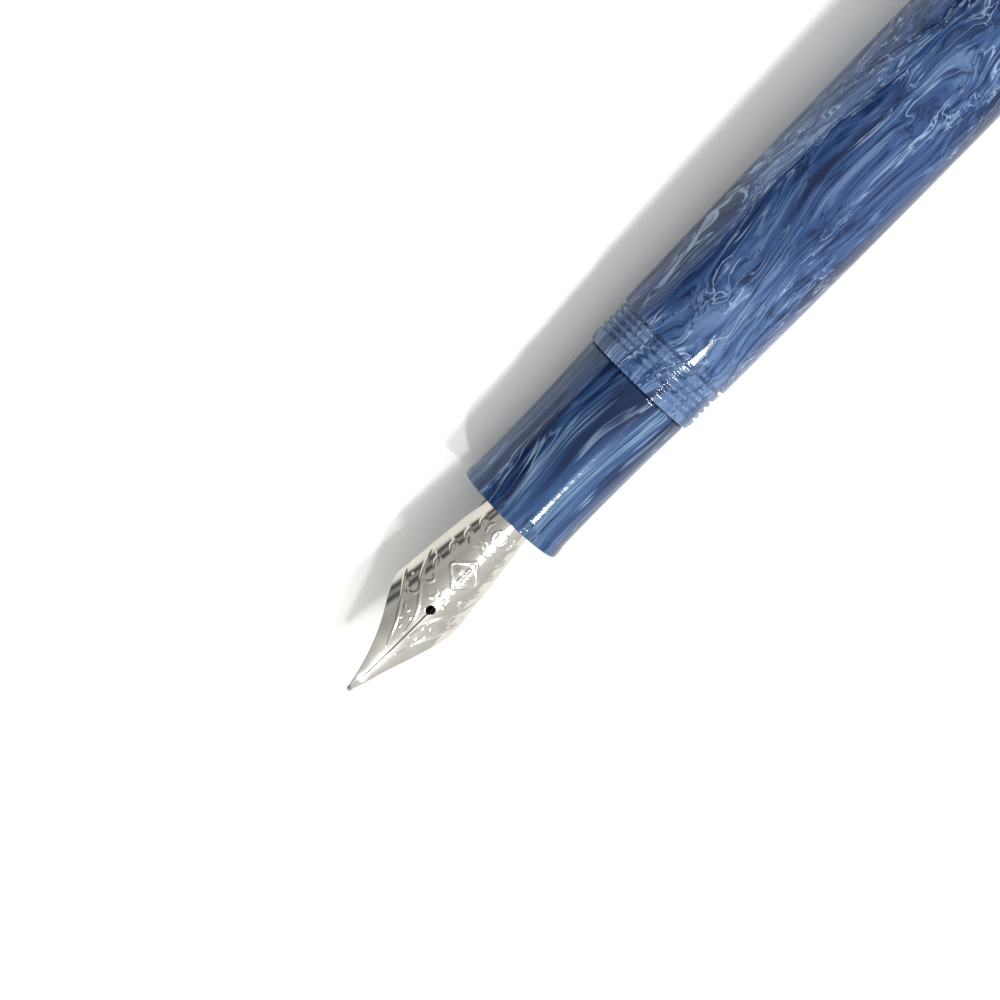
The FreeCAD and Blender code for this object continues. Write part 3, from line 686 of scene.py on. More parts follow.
def dress(piece: bpy.types.Object, finish: Finish, body: str, slot: str,
          *nodes: str) -> bpy.types.Object:
    """Give a new piece its finish and body, and hide the nodes it stands for.

    Args:
        piece: The new piece.
        finish: Its finish.
        body: CAD body that it moves with.
        slot: Material slot of the record; not used.
        nodes: CAD nodes that it replaces.

    Returns:
        The piece.
    """
    piece.data.materials.clear()
    piece.data.materials.append(finish.material())
    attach(piece, body)
    if nodes:
        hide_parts(*nodes)
    LOG.info("%-24s %6d faces on %s", piece.name, len(piece.data.polygons), body)
    return piece


def paint_node(node: str, finish: Finish) -> None:
    """Give a carried-over CAD node a better material in all its slots."""
    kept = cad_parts[node]
    if not kept.material_slots:
        kept.data.materials.append(None)
    for place in kept.material_slots:
        place.material = finish.material()
    LOG.info("%-24s carried over", node)


# ---------------------------------------------------------------------------------------------
# nib
# ---------------------------------------------------------------------------------------------

@dataclass
class Stroke:
    """A raised line on the nib, through control points (at, side) on its left half."""

    points: Sequence[tuple[float, float]]
    width: float = 0.15
    taper: bool = True


@dataclass
class Nib:
    """Engraved steel nib: a bent sheet with a slit, a breather hole and scrollwork."""

    sheet: float = 0.35
    slit: float = 0.06
    breather_at: float = 12.2
    breather_radius: float = 0.54
    relief: float = 0.075
    swell: float = 1.35
    pellet_share: float = 0.56
    pellet_lift: float = 0.1
    stations: Sequence[float] = (0.45, 2.06, 4.1, 6.2, 8.25, 10.3, 11.6, 12.4, 14.0, 18.55,
                                 21.65, 24.6, 35.6)
    half_widths: Sequence[float] = (0.32, 0.74, 1.33, 2.1, 2.98, 3.98, 4.42, 4.53, 4.34, 3.84,
                                    3.41, 2.947, 2.947)
    tops: Sequence[float] = (1.98, 2.42, 2.62, 2.8, 2.93, 3.02, 3.06, 3.08, 3.06, 3.0, 2.97,
                             2.95, 2.95)
    edges: Sequence[float] = (1.93, 2.36, 2.46, 2.5, 2.15, 1.3, 0.5, 0.2, 0.18, 0.2, 0.14,
                              0.12, 0.12)
    emblem_at: float = 17.2
    strokes: Sequence[Stroke] = field(default_factory=lambda: [
        Stroke([(6.4, 0.7), (8.8, 1.66), (10.8, 2.78), (12.6, 3.86), (13.5, 4.25)], 0.15),
        Stroke([(8.6, 0.36), (10.1, 0.6), (11.3, 1.04), (12.4, 1.76), (13.6, 2.63),
                (14.5, 3.15), (15.9, 3.62), (16.7, 3.8)], 0.17),
        Stroke([(12.75, 3.45), (12.2, 3.3), (12.0, 2.85), (12.3, 2.42), (12.95, 2.28),
                (13.5, 2.5)], 0.15),
        Stroke([(11.1, 2.35), (10.65, 2.15), (10.5, 1.8), (10.75, 1.48)], 0.13),
        Stroke([(14.15, 2.85), (14.05, 2.4), (14.35, 2.02), (14.85, 1.95), (15.15, 2.35)], 0.15),
        Stroke([(13.25, 1.6), (13.15, 1.1), (13.45, 0.76), (13.95, 0.8), (14.2, 1.15)], 0.15),
        Stroke([(15.35, 0.0), (16.1, 0.75), (17.2, 1.75), (18.3, 0.75), (19.05, 0.0)], 0.14,
               False),
        Stroke([(15.6, 2.55), (16.2, 2.95), (17.0, 3.05)], 0.2),
        Stroke([(16.1, 2.5), (16.6, 2.75), (16.9, 3.4)], 0.14),
        Stroke([(17.9, 2.45), (18.5, 2.85), (19.2, 2.95)], 0.2),
        Stroke([(18.4, 2.4), (18.9, 2.65), (19.1, 3.2)], 0.14),
        Stroke([(19.9, 2.3), (20.5, 2.65), (21.2, 2.72)], 0.2),
        Stroke([(20.4, 2.25), (20.9, 2.45), (21.1, 2.95)], 0.14),
        Stroke([(22.0, 2.1), (22.5, 2.4), (23.2, 2.45)], 0.2),
        Stroke([(22.4, 2.05), (22.9, 2.2), (23.1, 2.6)], 0.14),
        Stroke([(20.15, 0.0), (20.5, 0.9), (20.1, 1.7), (20.45, 2.2)], 0.17, False),
        Stroke([(20.75, 0.0), (21.1, 0.9), (20.75, 1.6)], 0.1),
        Stroke([(21.6, 0.35), (22.3, 0.75), (23.0, 0.6), (23.1, 0.1)], 0.13),
        Stroke([(21.9, 1.45), (22.6, 1.65), (23.4, 1.4)], 0.13),
    ])
    dots: Sequence[tuple[float, float]] = ((13.9, 0.3), (14.6, 0.5), (10.2, 0.98), (8.9, 1.15),
                                           (9.6, 1.75), (11.7, 3.1), (13.6, 3.55))

    def law(self, values: Sequence[float], at: Array) -> Array:
        """Value of one of the sheet's laws along the nib."""
        return smooth_through(self.stations, values, at)

    def bend(self, at: Array) -> tuple[Array, Array, Array]:
        """Radius and centre height of the sheet's arc, and the half length of the arc.

        The arc passes through the top and both edges: radius = (half squared + sag squared) over
        twice the sag.
        """
        half, top = self.law(self.half_widths, at), self.law(self.tops, at)
        sag = top - self.law(self.edges, at)
        radius = (half ** 2 + sag ** 2) / (2 * sag)
        return radius, top - radius, radius * np.arctan2(half, radius - sag)

    def opening(self, at: Array) -> Array:
        """Half width of the slit and the breather hole along the nib."""
        inside = np.clip(self.breather_radius ** 2 - (at - self.breather_at) ** 2, 0, None)
        slit = np.where(at < self.breather_at, self.slit, 0.0)
        return np.maximum(np.sqrt(inside), slit)

    def curve(self, stroke: Stroke) -> Array:
        """Even points on a Catmull-Rom curve through a stroke's control points."""
        p = np.array(stroke.points, float)
        p = np.vstack([2 * p[0] - p[1], p, 2 * p[-1] - p[-2]])
        t = np.linspace(0, 1, 14, endpoint=False)[None, :, None]
        a, b, c, d = (p[k:len(p) - 3 + k][:, None, :] for k in range(4))
        piece = 0.5 * (2 * b + (c - a) * t + (2 * a - 5 * b + 4 * c - d) * t ** 2
                       + (3 * b - a - 3 * c + d) * t ** 3)
        return np.vstack([piece.reshape(-1, 2), p[-2]])

    def on_sheet(self, points: Array) -> Array:
        """Change side distances seen from above into lengths along the bent sheet."""
        radius = self.bend(points[:, 0])[0]
        arc = radius * np.arcsin(np.clip(points[:, 1] / radius, -1, 1))
        return np.stack([points[:, 0], arc], axis=-1)

    def height(self, at: Array, arc: Array) -> Array:
        """Height of the relief.

        A stroke is a rounded ridge: one minus the squared distance over the squared half width.
        Dots, petals and the lozenge's heart are domes of the same law.

        Args:
            at: Place along the nib.
            arc: Unsigned length along the sheet from its middle.

        Returns:
            Height above the plain sheet.
        """
        spot = np.stack([at.ravel(), arc.ravel()], axis=-1)
        total = np.zeros(len(spot))
        for stroke in self.strokes:
            line = self.on_sheet(self.curve(stroke))
            low, high = line.min(0) - 0.3, line.max(0) + 0.3
            near = np.nonzero(((spot > low) & (spot < high)).all(1))[0]
            if not len(near):
                continue
            a, b = line[:-1], line[1:]
            ab = b - a
            away = spot[near][:, None, :] - a[None]
            t = np.clip((away * ab).sum(-1) / np.maximum((ab * ab).sum(-1), 1e-9), 0, 1)
            gap = np.linalg.norm(away - t[..., None] * ab, axis=-1)
            best = gap.argmin(1)
            gap = gap[np.arange(len(near)), best]
            along = (best + t[np.arange(len(near)), best]) / len(ab)
            full = self.swell * stroke.width
            ends = np.sin(math.pi * np.clip(along, 0.02, 0.98))
            wide = full * (np.sqrt(np.clip(ends, 0.05, 1)) if stroke.taper else 1.0)
            ridge = np.clip(1 - (gap / wide) ** 2, 0, 1)
            total[near] = np.maximum(total[near], ridge * (0.6 + 0.4 * wide / full))
        domes = [(a, s, 0.15, 0.15) for a, s in self.dots]
        domes += [(self.emblem_at, 0.0, 0.22, 0.22)]
        domes += [(self.emblem_at + 0.62 * sign, 0.0, 0.42, 0.24) for sign in (-1, 1)]
        domes += [(self.emblem_at, 0.62, 0.24, 0.42)]
        for a, s, long, wide in domes:
            place = self.on_sheet(np.array([[a, s]]))[0]
            gap = ((spot[:, 0] - place[0]) / long) ** 2 + ((spot[:, 1] - place[1]) / wide) ** 2
            total = np.maximum(total, np.clip(1 - gap, 0, 1) ** 0.6)
        return self.relief * total.reshape(at.shape)

    def shell(self) -> tuple[Array, list[Array]]:
        """Closed sheet made of two halves that meet behind the breather hole.

        On each half the arc length runs from the opening to the edge. The outer face stands off
        the arc by the relief, the inner face lies the sheet's thickness below it.

        Returns:
            Points and arrays of faces.
        """
        hole = self.breather_at + self.breather_radius * np.cos(np.linspace(math.pi, 0, 19))
        at = np.concatenate([np.linspace(0.45, 5.0, 24)[:-1], np.linspace(5.0, hole[0], 78)[:-1],
                             hole, np.linspace(hole[-1], 24.9, 142)[1:],
                             np.linspace(24.9, 35.6, 12)[1:]])
        share = np.linspace(0, 1, 76)[None, :]
        radius, centre, reach = (v[:, None] for v in self.bend(at))
        start = self.opening(at)[:, None]
        arc = start + (reach - start) * share
        place = at[:, None] + 0 * arc
        fade = np.clip((reach - arc) / 0.12, 0, 1) * np.clip((24.3 - place) / 0.3, 0, 1)
        lift = self.height(place, arc) * fade
        edge = np.clip((reach - arc) / 0.1, 0, 1)
        ease = 0.035 * (1 - np.sqrt(1 - (1 - edge) ** 2))
        rows, cols = arc.shape
        shells = []
        for grow in (lift - ease, -self.sheet + ease):
            for side in (1, -1):
                angle = arc / radius
                shells.append(SPACE.place(place, side * (radius + grow) * np.sin(angle),
                                          centre + (radius + grow) * np.cos(angle)))
        points = np.concatenate(shells)
        block = rows * cols
        number = [np.arange(block).reshape(rows, cols) + k * block for k in range(4)]
        closed = self.opening(at) < 1e-6
        for outer in (0, 2):
            number[outer + 1][closed, 0] = number[outer][closed, 0]

        def patch(table: Array, flip: bool) -> Array:
            """Quads over one numbered face."""
            quads = np.stack([table[:-1, :-1], table[1:, :-1], table[1:, 1:], table[:-1, 1:]],
                             axis=-1).reshape(-1, 4)
            return quads[:, ::-1] if flip else quads

        def wall(top: Array, bottom: Array, flip: bool) -> Array:
            """Quads between two runs of vertices."""
            quads = np.stack([top[:-1], top[1:], bottom[1:], bottom[:-1]], axis=-1)
            return quads[:, ::-1] if flip else quads

        groups = [patch(number[0], False), patch(number[1], True),
                  patch(number[2], True), patch(number[3], False)]
        open_rows = np.nonzero(~closed)[0]
        rim = slice(0, open_rows[-1] + 2)
        for k, flip in ((0, True), (1, False)):
            top, low = number[k], number[k + 2]
            groups.append(wall(top[:, -1], low[:, -1], flip))
            groups.append(wall(top[rim, 0], low[rim, 0], not flip))
            groups.append(wall(top[0], low[0], not flip))
            groups.append(wall(top[-1], low[-1], flip))
        return points, groups

    def build(self) -> None:
        """Make the nib and dress it and its tipping."""
        points, groups = self.shell()
        piece = new_piece("engraved_nib", [(points, groups)])
        tidy_shell(piece)
        dress(piece, NIB_STEEL, "nib_and_feed", "nib_steel", "nib")
        pellets = [self.pellet(side) for side in (1, -1)]
        dress(new_piece("tipping_pellets", pellets), HARD_TIP, "nib_and_feed", "tipping",
              "nib_tipping")

    def pellet(self, side: int) -> tuple[Array, list[Array]]:
        """Half ball at the tip of one tine, flat towards the slit.

        Points of a ball, whose side distance is kept at least half the slit away from the middle.
        """
        low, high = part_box("nib_tipping")
        ball = (high.x - low.x) * self.pellet_share * MM
        rise = ((high.z + low.z) / 2 - SPACE.axis_z) * MM + self.pellet_lift
        turn = np.arange(40)[None, :] * TAU / 40
        polar = np.linspace(0.03, math.pi - 0.03, 24)[:, None]
        out = ball * np.cos(polar) + 0 * turn
        ring = ball * np.sin(polar)
        across = np.maximum(out, self.slit)
        points = SPACE.place(ball + ring * np.cos(turn), side * across,
                             rise + ring * np.sin(turn))
        return tube_with_ends(points, 24, 40)


def tidy_shell(piece: bpy.types.Object) -> None:
    """Merge doubled vertices of a closed shell and turn its faces outwards."""
    work = bmesh.new()
    work.from_mesh(piece.data)
    bmesh.ops.remove_doubles(work, verts=work.verts, dist=1e-7)
    bmesh.ops.recalc_face_normals(work, faces=work.faces)
    work.to_mesh(piece.data)
    work.free()
    piece.data.update()


# ---------------------------------------------------------------------------------------------
# feed, housing, section, barrel
# ---------------------------------------------------------------------------------------------

@dataclass
class WritingEnd:
    """Feed, nib housing and grip section."""

    lip: float = 6.34
    waist: float = 6.165
    waist_at: float = 30.5
    sweep: float = 287.0

    def build_feed(self) -> None:
        """Dress the carried-over feed."""
        paint_node("feed", FEED_BLACK)

    def build_housing(self) -> None:
        """Threaded collar that ends in the ink nipple."""
        def ripple(at: Array, turn: Array, radius: Array) -> Array:
            """Cut the screw thread into the outside of the collar."""
            cut = thread_cut(at, turn, 26.35, 9.6, 0.75, 0.3, 0.28)
            return np.where((radius > 3.7) & (at > 26.0), -cut, 0.0)
        dress(Lathe("nib_collar", [
            (25.0, 3.0), (25.0, 3.93), (25.7, 3.93), (25.7, 3.45), (26.3, 3.45), (26.3, 3.8),
            (36.0, 3.8), (36.3, 3.3), (41.0, 3.3), (41.4, 2.9), (41.4, 1.9), (47.4, 1.9),
            (48.0, 1.5), (48.0, 0.9), (35.8, 0.9), (35.8, 3.0)], 96, 0.1, ripple).build(),
            FEED_BLACK, "housing", "feed_plastic", "nib_housing")

    def build_section(self) -> None:
        """Grip section: lip, hollowed waist, shoulder and the screw tenon behind it."""
        waist = [(a, self.waist + (a - self.waist_at) ** 2 / (2 * self.sweep), 0.2)
                 for a in np.linspace(26.3, 43.3, 18)]

        def ripple(at: Array, turn: Array, radius: Array) -> Array:
            """Cut the screw thread into the tenon."""
            cut = thread_cut(at, turn, 44.75, 6.6, 1.0, 0.42, 0.34)
            return np.where((radius > 4.9) & (radius < 5.1) & (at > 44.3), -cut, 0.0)
        dress(Lathe("section_grip", [
            (24.6, 4.0, 0.12), (24.6, self.lip, 0.42), (25.35, self.lip, 0.5), *waist,
            (43.55, 6.3, 0.1), (43.55, 4.62), (44.55, 4.62), (44.85, 5.0), (51.5, 5.0),
            (51.9, 4.62), (52.3, 4.62), (52.6, 4.35), (52.6, 3.55), (41.6, 3.55),
            (41.6, 3.38), (36.9, 3.38), (36.9, 3.83), (25.75, 3.83), (25.75, 4.0)],
            256, 0.12, ripple).build(), SECTION_RESIN, "section", "section_resin",
            "grip_section")

    def build_seal(self) -> None:
        """Rubber ring at the foot of the tenon: a small circle carried round the axis."""
        lap = np.linspace(0, TAU, 25)[:-1]
        ring = [(44.02 + 0.36 * math.cos(a), 5.03 + 0.36 * math.sin(a), 0.01) for a in lap]
        dress(Lathe("tenon_seal", ring, 96, 0.2).build(), RUBBER, "seal", "seal_rubber",
              "barrel_seal")


@dataclass
class Barrel:
    """Barrel with the cap thread on its nose, a long belly and a rounded tail."""

    belly: float = 7.35
    belly_at: float = 88.0
    front_sweep: float = 2066.0
    tail_sweep: float = 230.0
    crest: float = 6.85

    def outline(self, at: Array) -> Array:
        """Radius: the belly less the squared distance from it over twice the sweep."""
        sweep = np.where(at < self.belly_at, self.front_sweep, self.tail_sweep)
        return self.belly - (at - self.belly_at) ** 2 / (2 * sweep)

    def build(self) -> None:
        """Make the barrel."""
        body = [(float(a), float(self.outline(a)), 0.2) for a in np.linspace(49.0, 121.0, 40)]
        dome_in = np.linspace(0.06, 1.0, 12)
        end = float(self.outline(np.array(121.0)))
        dome = [(121.0 + 4.98 * math.sin(t * math.pi / 2),
                 1.3 + (end - 1.3) * math.cos(t * math.pi / 2) ** 0.82, 0.1)
                for t in dome_in[:-1]] + [(125.99, 1.3, 0.3), (125.99, 0.0)]

        def ripple(at: Array, turn: Array, radius: Array) -> Array:
            """Cut the cap thread outside and the tenon thread inside."""
            outside = thread_cut(at, turn, 44.6, 3.5, 0.8, 0.27, 0.33)
            inside = thread_cut(at, turn, 45.3, 6.4, 1.0, 0.42, 0.33)
            on_nose = (radius > 6.7) & (at > 44.2) & (at < 48.5)
            in_socket = (radius > 4.98) & (radius < 5.08) & (at > 44.6)
            return np.where(on_nose, -outside, 0.0) + np.where(in_socket, inside, 0.0)
        inner = [(122.7, 0.0), (121.5, 4.1, 0.1), (52.95, 4.1), (52.95, 5.03), (44.5, 5.03),
                 (44.5, 5.45), (43.6, 5.45, 0.1)]
        nose = [(43.6, 6.67, 0.12), (44.35, self.crest, 0.1), (48.46, self.crest, 0.06),
                (48.5, 6.56, 0.05), (48.8, 6.56, 0.05), (48.83, 6.94, 0.08)]
        dress(Lathe("marbled_barrel", inner + nose + body + dome, 288, 0.07, ripple).build(),
              BARREL_RESIN, "barrel", "barrel_resin", "barrel")


# ---------------------------------------------------------------------------------------------
# converter
# ---------------------------------------------------------------------------------------------

@dataclass
class Converter:
    """Ink converter: tube, collar, band, piston on its rod, guide, knob and ring."""

    tube: float = 3.2
    bore: float = 2.75
    band: float = 3.45
    flutes: int = 24

    def build(self) -> None:
        """Make all of the converter's pieces."""
        spigot = self.bore - 0.03
        dress(Lathe("converter_mouth", [
            (42.0, 2.2), (42.0, 2.7), (42.35, 3.05, 0.1), (49.0, 3.05, 0.1), (49.0, spigot),
            (52.0, spigot), (52.0, 1.4), (48.4, 1.4), (48.4, 1.93), (42.3, 1.93)],
            96).build(), CONVERTER_BLACK, "converter", "converter_plastic", "converter_collar")
        dress(Lathe("ink_tube", [(49.05, self.bore), (49.05, self.tube, 0.08),
                                 (85.0, self.tube, 0.08), (85.0, self.bore)], 128).build(),
              CLEAR_TUBE, "converter", "converter_clear", "converter_tube")
        dress(Lathe("converter_sleeve", [
            (81.0, 3.23), (81.0, self.band, 0.1), (83.2, self.band), (83.3, 3.36),
            (83.5, 3.36), (83.6, self.band), (90.8, self.band), (90.9, 3.36), (91.1, 3.36),
            (91.2, self.band), (92.6, self.band, 0.1), (92.6, 3.23)], 128).build(),
            TRIM_STEEL, "converter", "converter_metal", "converter_band")
        dress(Lathe("rod_guide_plug", [
            (83.0, 1.2), (83.0, spigot), (85.05, spigot), (85.05, self.tube), (88.6, self.tube),
            (88.6, 1.2)], 96).build(), CONVERTER_BLACK, "converter", "converter_plastic",
            "rod_guide")
        dress(Lathe("knob_ring", [(90.0, 2.48), (90.0, 3.2), (90.7, 3.2), (90.7, 2.48)],
                    96).build(), TRIM_STEEL, "converter", "converter_metal",
              "knob_retaining_ring")
        dress(Lathe("piston_head", [
            (77.58, 0.0), (77.58, 1.11), (80.2, 1.11), (80.2, 2.5), (79.7, 2.73, 0.15),
            (79.2, 2.5, 0.1), (77.2, 2.5, 0.1), (76.7, 2.73, 0.15), (76.2, 2.5), (76.2, 0.0)],
            96).build(), RUBBER, "piston", "seal_rubber", "piston_seal")

        def helix(at: Array, turn: Array, radius: Array) -> Array:
            """Cut the rod's thread."""
            cut = thread_cut(at, turn, 81.3, 29.3, 1.2, 0.45, 0.3)
            return np.where((radius > 1.0) & (at > 81.0), -cut, 0.0)
        dress(Lathe("piston_screw", [(77.6, 0.0), (77.6, 1.1), (110.9, 1.1), (111.2, 0.8),
                                     (111.2, 0.0)], 48, 0.12, helix).build(),
              ROD_PLASTIC, "piston", "rod_plastic", "piston_rod")

        def flute(at: Array, turn: Array, radius: Array) -> Array:
            """Round flutes on the grip of the knob."""
            wave = np.clip(np.cos(turn * self.flutes) - 0.2, 0, 1) / 0.8
            fade = np.clip((at - 94.2) / 0.8, 0, 1) * np.clip((112.4 - at) / 0.6, 0, 1)
            return np.where(radius > 2.9, -0.17 * wave * fade, 0.0)
        dress(Lathe("piston_knob", [
            (112.0, 0.0), (112.0, 1.2), (88.8, 1.2), (88.8, 3.1, 0.1), (89.9, 3.1, 0.05),
            (89.9, 2.45), (90.8, 2.45), (90.8, 3.1, 0.05), (93.2, 3.1), (93.3, 2.95),
            (93.6, 2.95), (93.7, 3.1), (112.4, 3.1, 0.5), (113.0, 2.5, 0.5), (113.0, 0.0)],
            240, 0.5, flute).build(), CONVERTER_BLACK, "knob", "converter_plastic",
            "converter_knob")


# ---------------------------------------------------------------------------------------------
# cap and clip
# ---------------------------------------------------------------------------------------------

@dataclass
class Cap:
    """Posted cap: tube, bands, liner, clip and finial."""

    belly: float = 8.15
    belly_at: float = 124.0
    sweep: float = 1019.0
    groove: float = 7.6
    band: float = 8.2

    def outline(self, at: float) -> float:
        """Radius: the belly less the squared distance from it over twice the sweep."""
        return self.belly - (at - self.belly_at) ** 2 / (2 * self.sweep)

    def build_tube(self) -> None:
        """Cap tube with the grooves of its bands and its inside thread."""
        skin: list[tuple[float, float, float]] = []
        grooves = ((106.2, 106.8), (107.2, 111.2), (111.6, 112.2))
        stops = [104.25] + [v for pair in grooves for v in pair] + [163.15]
        for k in range(0, len(stops), 2):
            low, high = stops[k], stops[k + 1]
            count = max(2, int((high - low) / 2.5) + 2)
            skin += [(float(a), self.outline(float(a)), 0.06) for a in np.linspace(low, high,
                                                                                   count)]
            if k + 2 < len(stops):
                skin += [(high, self.groove, 0.03), (stops[k + 2], self.groove, 0.03)]

        def ripple(at: Array, turn: Array, radius: Array) -> Array:
            """Cut the thread that closes on the barrel's nose."""
            cut = thread_cut(at, turn, 106.0, 4.0, 0.8, 0.25, 0.24)
            return np.where((radius < 6.75) & (radius > 6.6) & (at < 110.5), cut, 0.0)
        corners = [(104.0, 7.3, 0.1), (104.0, self.outline(104.0) - 0.02, 0.25), *skin[1:],
                   (163.15, 2.55), (158.6, 2.55), (156.6, 5.0), (156.2, 7.0, 0.2),
                   (110.4, 7.0), (110.4, 6.7), (105.6, 6.7), (105.2, 7.0)]
        dress(Lathe("marbled_cap", corners, 256, 0.12, ripple).build(), BARREL_RESIN, "cap",
              "barrel_resin", "cap_body")

    def build_bands(self) -> None:
        """Wide band with two thin rings beside it."""
        for name, node, low, high in (("wide_band", "cap_band", 107.22, 111.18),
                                      ("front_ring", "cap_band_ring_front", 106.22, 106.78),
                                      ("rear_ring", "cap_band_ring_rear", 111.62, 112.18)):
            middle = [(low + 0.5, self.band - 0.01, 0.05), (low + 0.6, self.band - 0.07, 0.03),
                      (low + 0.7, self.band - 0.01, 0.05), (high - 0.7, self.band - 0.01, 0.05),
                      (high - 0.6, self.band - 0.07, 0.03),
                      (high - 0.5, self.band - 0.01, 0.05)] if high - low > 2 else []
            dress(Lathe(name, [(low, 7.63), (low, self.band - 0.01, 0.12), *middle,
                               (high, self.band - 0.01, 0.12), (high, 7.63)], 256,
                        0.5).build(), TRIM_STEEL, "cap", "trim_steel", node)

    def build_inside(self) -> None:
        """Liner, finial, its ring and its brass stud."""
        dress(Lathe("cap_liner", [
            (154.4, 0.0), (154.4, 4.8, 0.3), (153.6, 5.6, 0.3), (128.3, 5.6, 0.08),
            (128.3, 6.63), (128.6, 6.93), (155.6, 6.93, 0.1), (155.6, 0.0)], 160).build(),
            LINER_BLACK, "cap", "liner_plastic", "inner_cap")
        dress(Lathe("finial_trim", [(164.05, 2.55), (164.05, 7.3, 0.12), (164.6, 7.3, 0.12),
                                    (164.6, 2.55)], 224).build(), TRIM_STEEL, "cap",
              "trim_steel", "finial_ring")
        dome = [(167.6 + 3.38 * math.sin(t), 3.45 + 3.25 * math.cos(t) ** 0.9, 0.1)
                for t in np.linspace(0.05, math.pi / 2 - 0.03, 12)]
        dress(Lathe("marbled_finial", [
            (168.4, 0.0), (168.4, 2.55), (164.65, 2.55), (164.65, 7.05, 0.1),
            (166.2, 7.0, 0.6), *dome, (170.99, 3.3, 0.3), (170.99, 0.0)], 224, 0.5).build(),
            BARREL_RESIN, "cap", "barrel_resin", "cap_finial")

        def ripple(at: Array, turn: Array, radius: Array) -> Array:
            """Cut the stud's thread."""
            cut = thread_cut(at, turn, 157.8, 9.6, 0.8, 0.3, 0.28)
            return np.where(radius > 2.4, -cut, 0.0)
        dress(Lathe("finial_stud", [(157.4, 0.0), (157.4, 2.2), (157.7, 2.5), (167.7, 2.5),
                                    (168.0, 2.2), (168.0, 0.0)], 96, 0.1, ripple).build(),
              BRASS, "cap", "stud_brass", "finial_screw")


@dataclass
class Clip:
    """Clip: washer with a tab, and the spring arm with a wide bead."""

    thick: float = 0.75
    width: float = 3.6
    tip_width: float = 3.0
    rise: float = 9.225
    bead_at: float = 127.0
    bead_rise: float = 9.3
    bead_radius: float = 1.045
    bead_half: float = 3.1

    def path(self) -> Array:
        """Middle line of the strip (at, distance below the axis): foot, round bend, long arm."""
        bend = np.linspace(0, math.pi / 2, 14)
        corner = np.stack([162.9 + 0.7 * np.cos(bend), self.rise - 0.7 + 0.7 * np.sin(bend)], 1)
        foot = np.stack([np.full(4, 163.6), np.linspace(8.1, self.rise - 0.8, 4)], 1)
        arm = np.linspace(162.4, self.bead_at, 40)
        bow = 0.05 * np.sin(math.pi * (162.4 - arm) / (162.4 - self.bead_at))
        return np.vstack([foot, corner, np.stack([arm, self.rise - bow], 1)])

    def strip(self) -> tuple[Array, list[Array]]:
        """Rounded strip carried along the path.

        The section is a rounded rectangle: a circle's cosine and sine raised to a small power,
        times half the width and half the thickness. The width falls evenly from foot to tip.
        """
        line = self.path()
        tangent = np.gradient(line, axis=0)
        tangent /= np.linalg.norm(tangent, axis=1)[:, None]
        normal = np.stack([-tangent[:, 1], tangent[:, 0]], 1)
        lap = np.arange(48)[None, :] * TAU / 48
        across = np.sign(np.cos(lap)) * np.abs(np.cos(lap)) ** 0.28
        out = np.sign(np.sin(lap)) * np.abs(np.sin(lap)) ** 0.42
        run = np.linspace(0, 1, len(line))[:, None]
        half = (self.width + (self.tip_width - self.width) * run) / 2
        at = line[:, 0:1] + normal[:, 0:1] * out * self.thick / 2
        low = line[:, 1:2] + normal[:, 1:2] * out * self.thick / 2
        points = SPACE.place(at, half * across, -low)
        return tube_with_ends(points, len(line), 48)

    def bead(self) -> tuple[Array, list[Array]]:
        """Wide bead: a barrel lying across the pen whose radius eases in at both ends."""
        run = np.sin(np.linspace(-math.pi / 2, math.pi / 2, 33))[1:-1, None]
        lap = np.arange(64)[None, :] * TAU / 64
        radius = self.bead_radius * (1 - np.abs(run) ** 7) ** 0.36
        side = self.bead_half * run + 0 * lap
        points = SPACE.place(self.bead_at + radius * np.cos(lap), side,
                             -self.bead_rise + radius * np.sin(lap))
        return tube_with_ends(points, 31, 64)

    def build(self) -> None:
        """Make the arm with its bead, and dress the washer."""
        arm = new_piece("clip_spring", [self.strip(), self.bead()])
        dress(arm, TRIM_STEEL, "clip", "trim_steel", "clip_arm")
        paint_node("clip_ring", TRIM_STEEL)


# ---------------------------------------------------------------------------------------------
# studio
# ---------------------------------------------------------------------------------------------

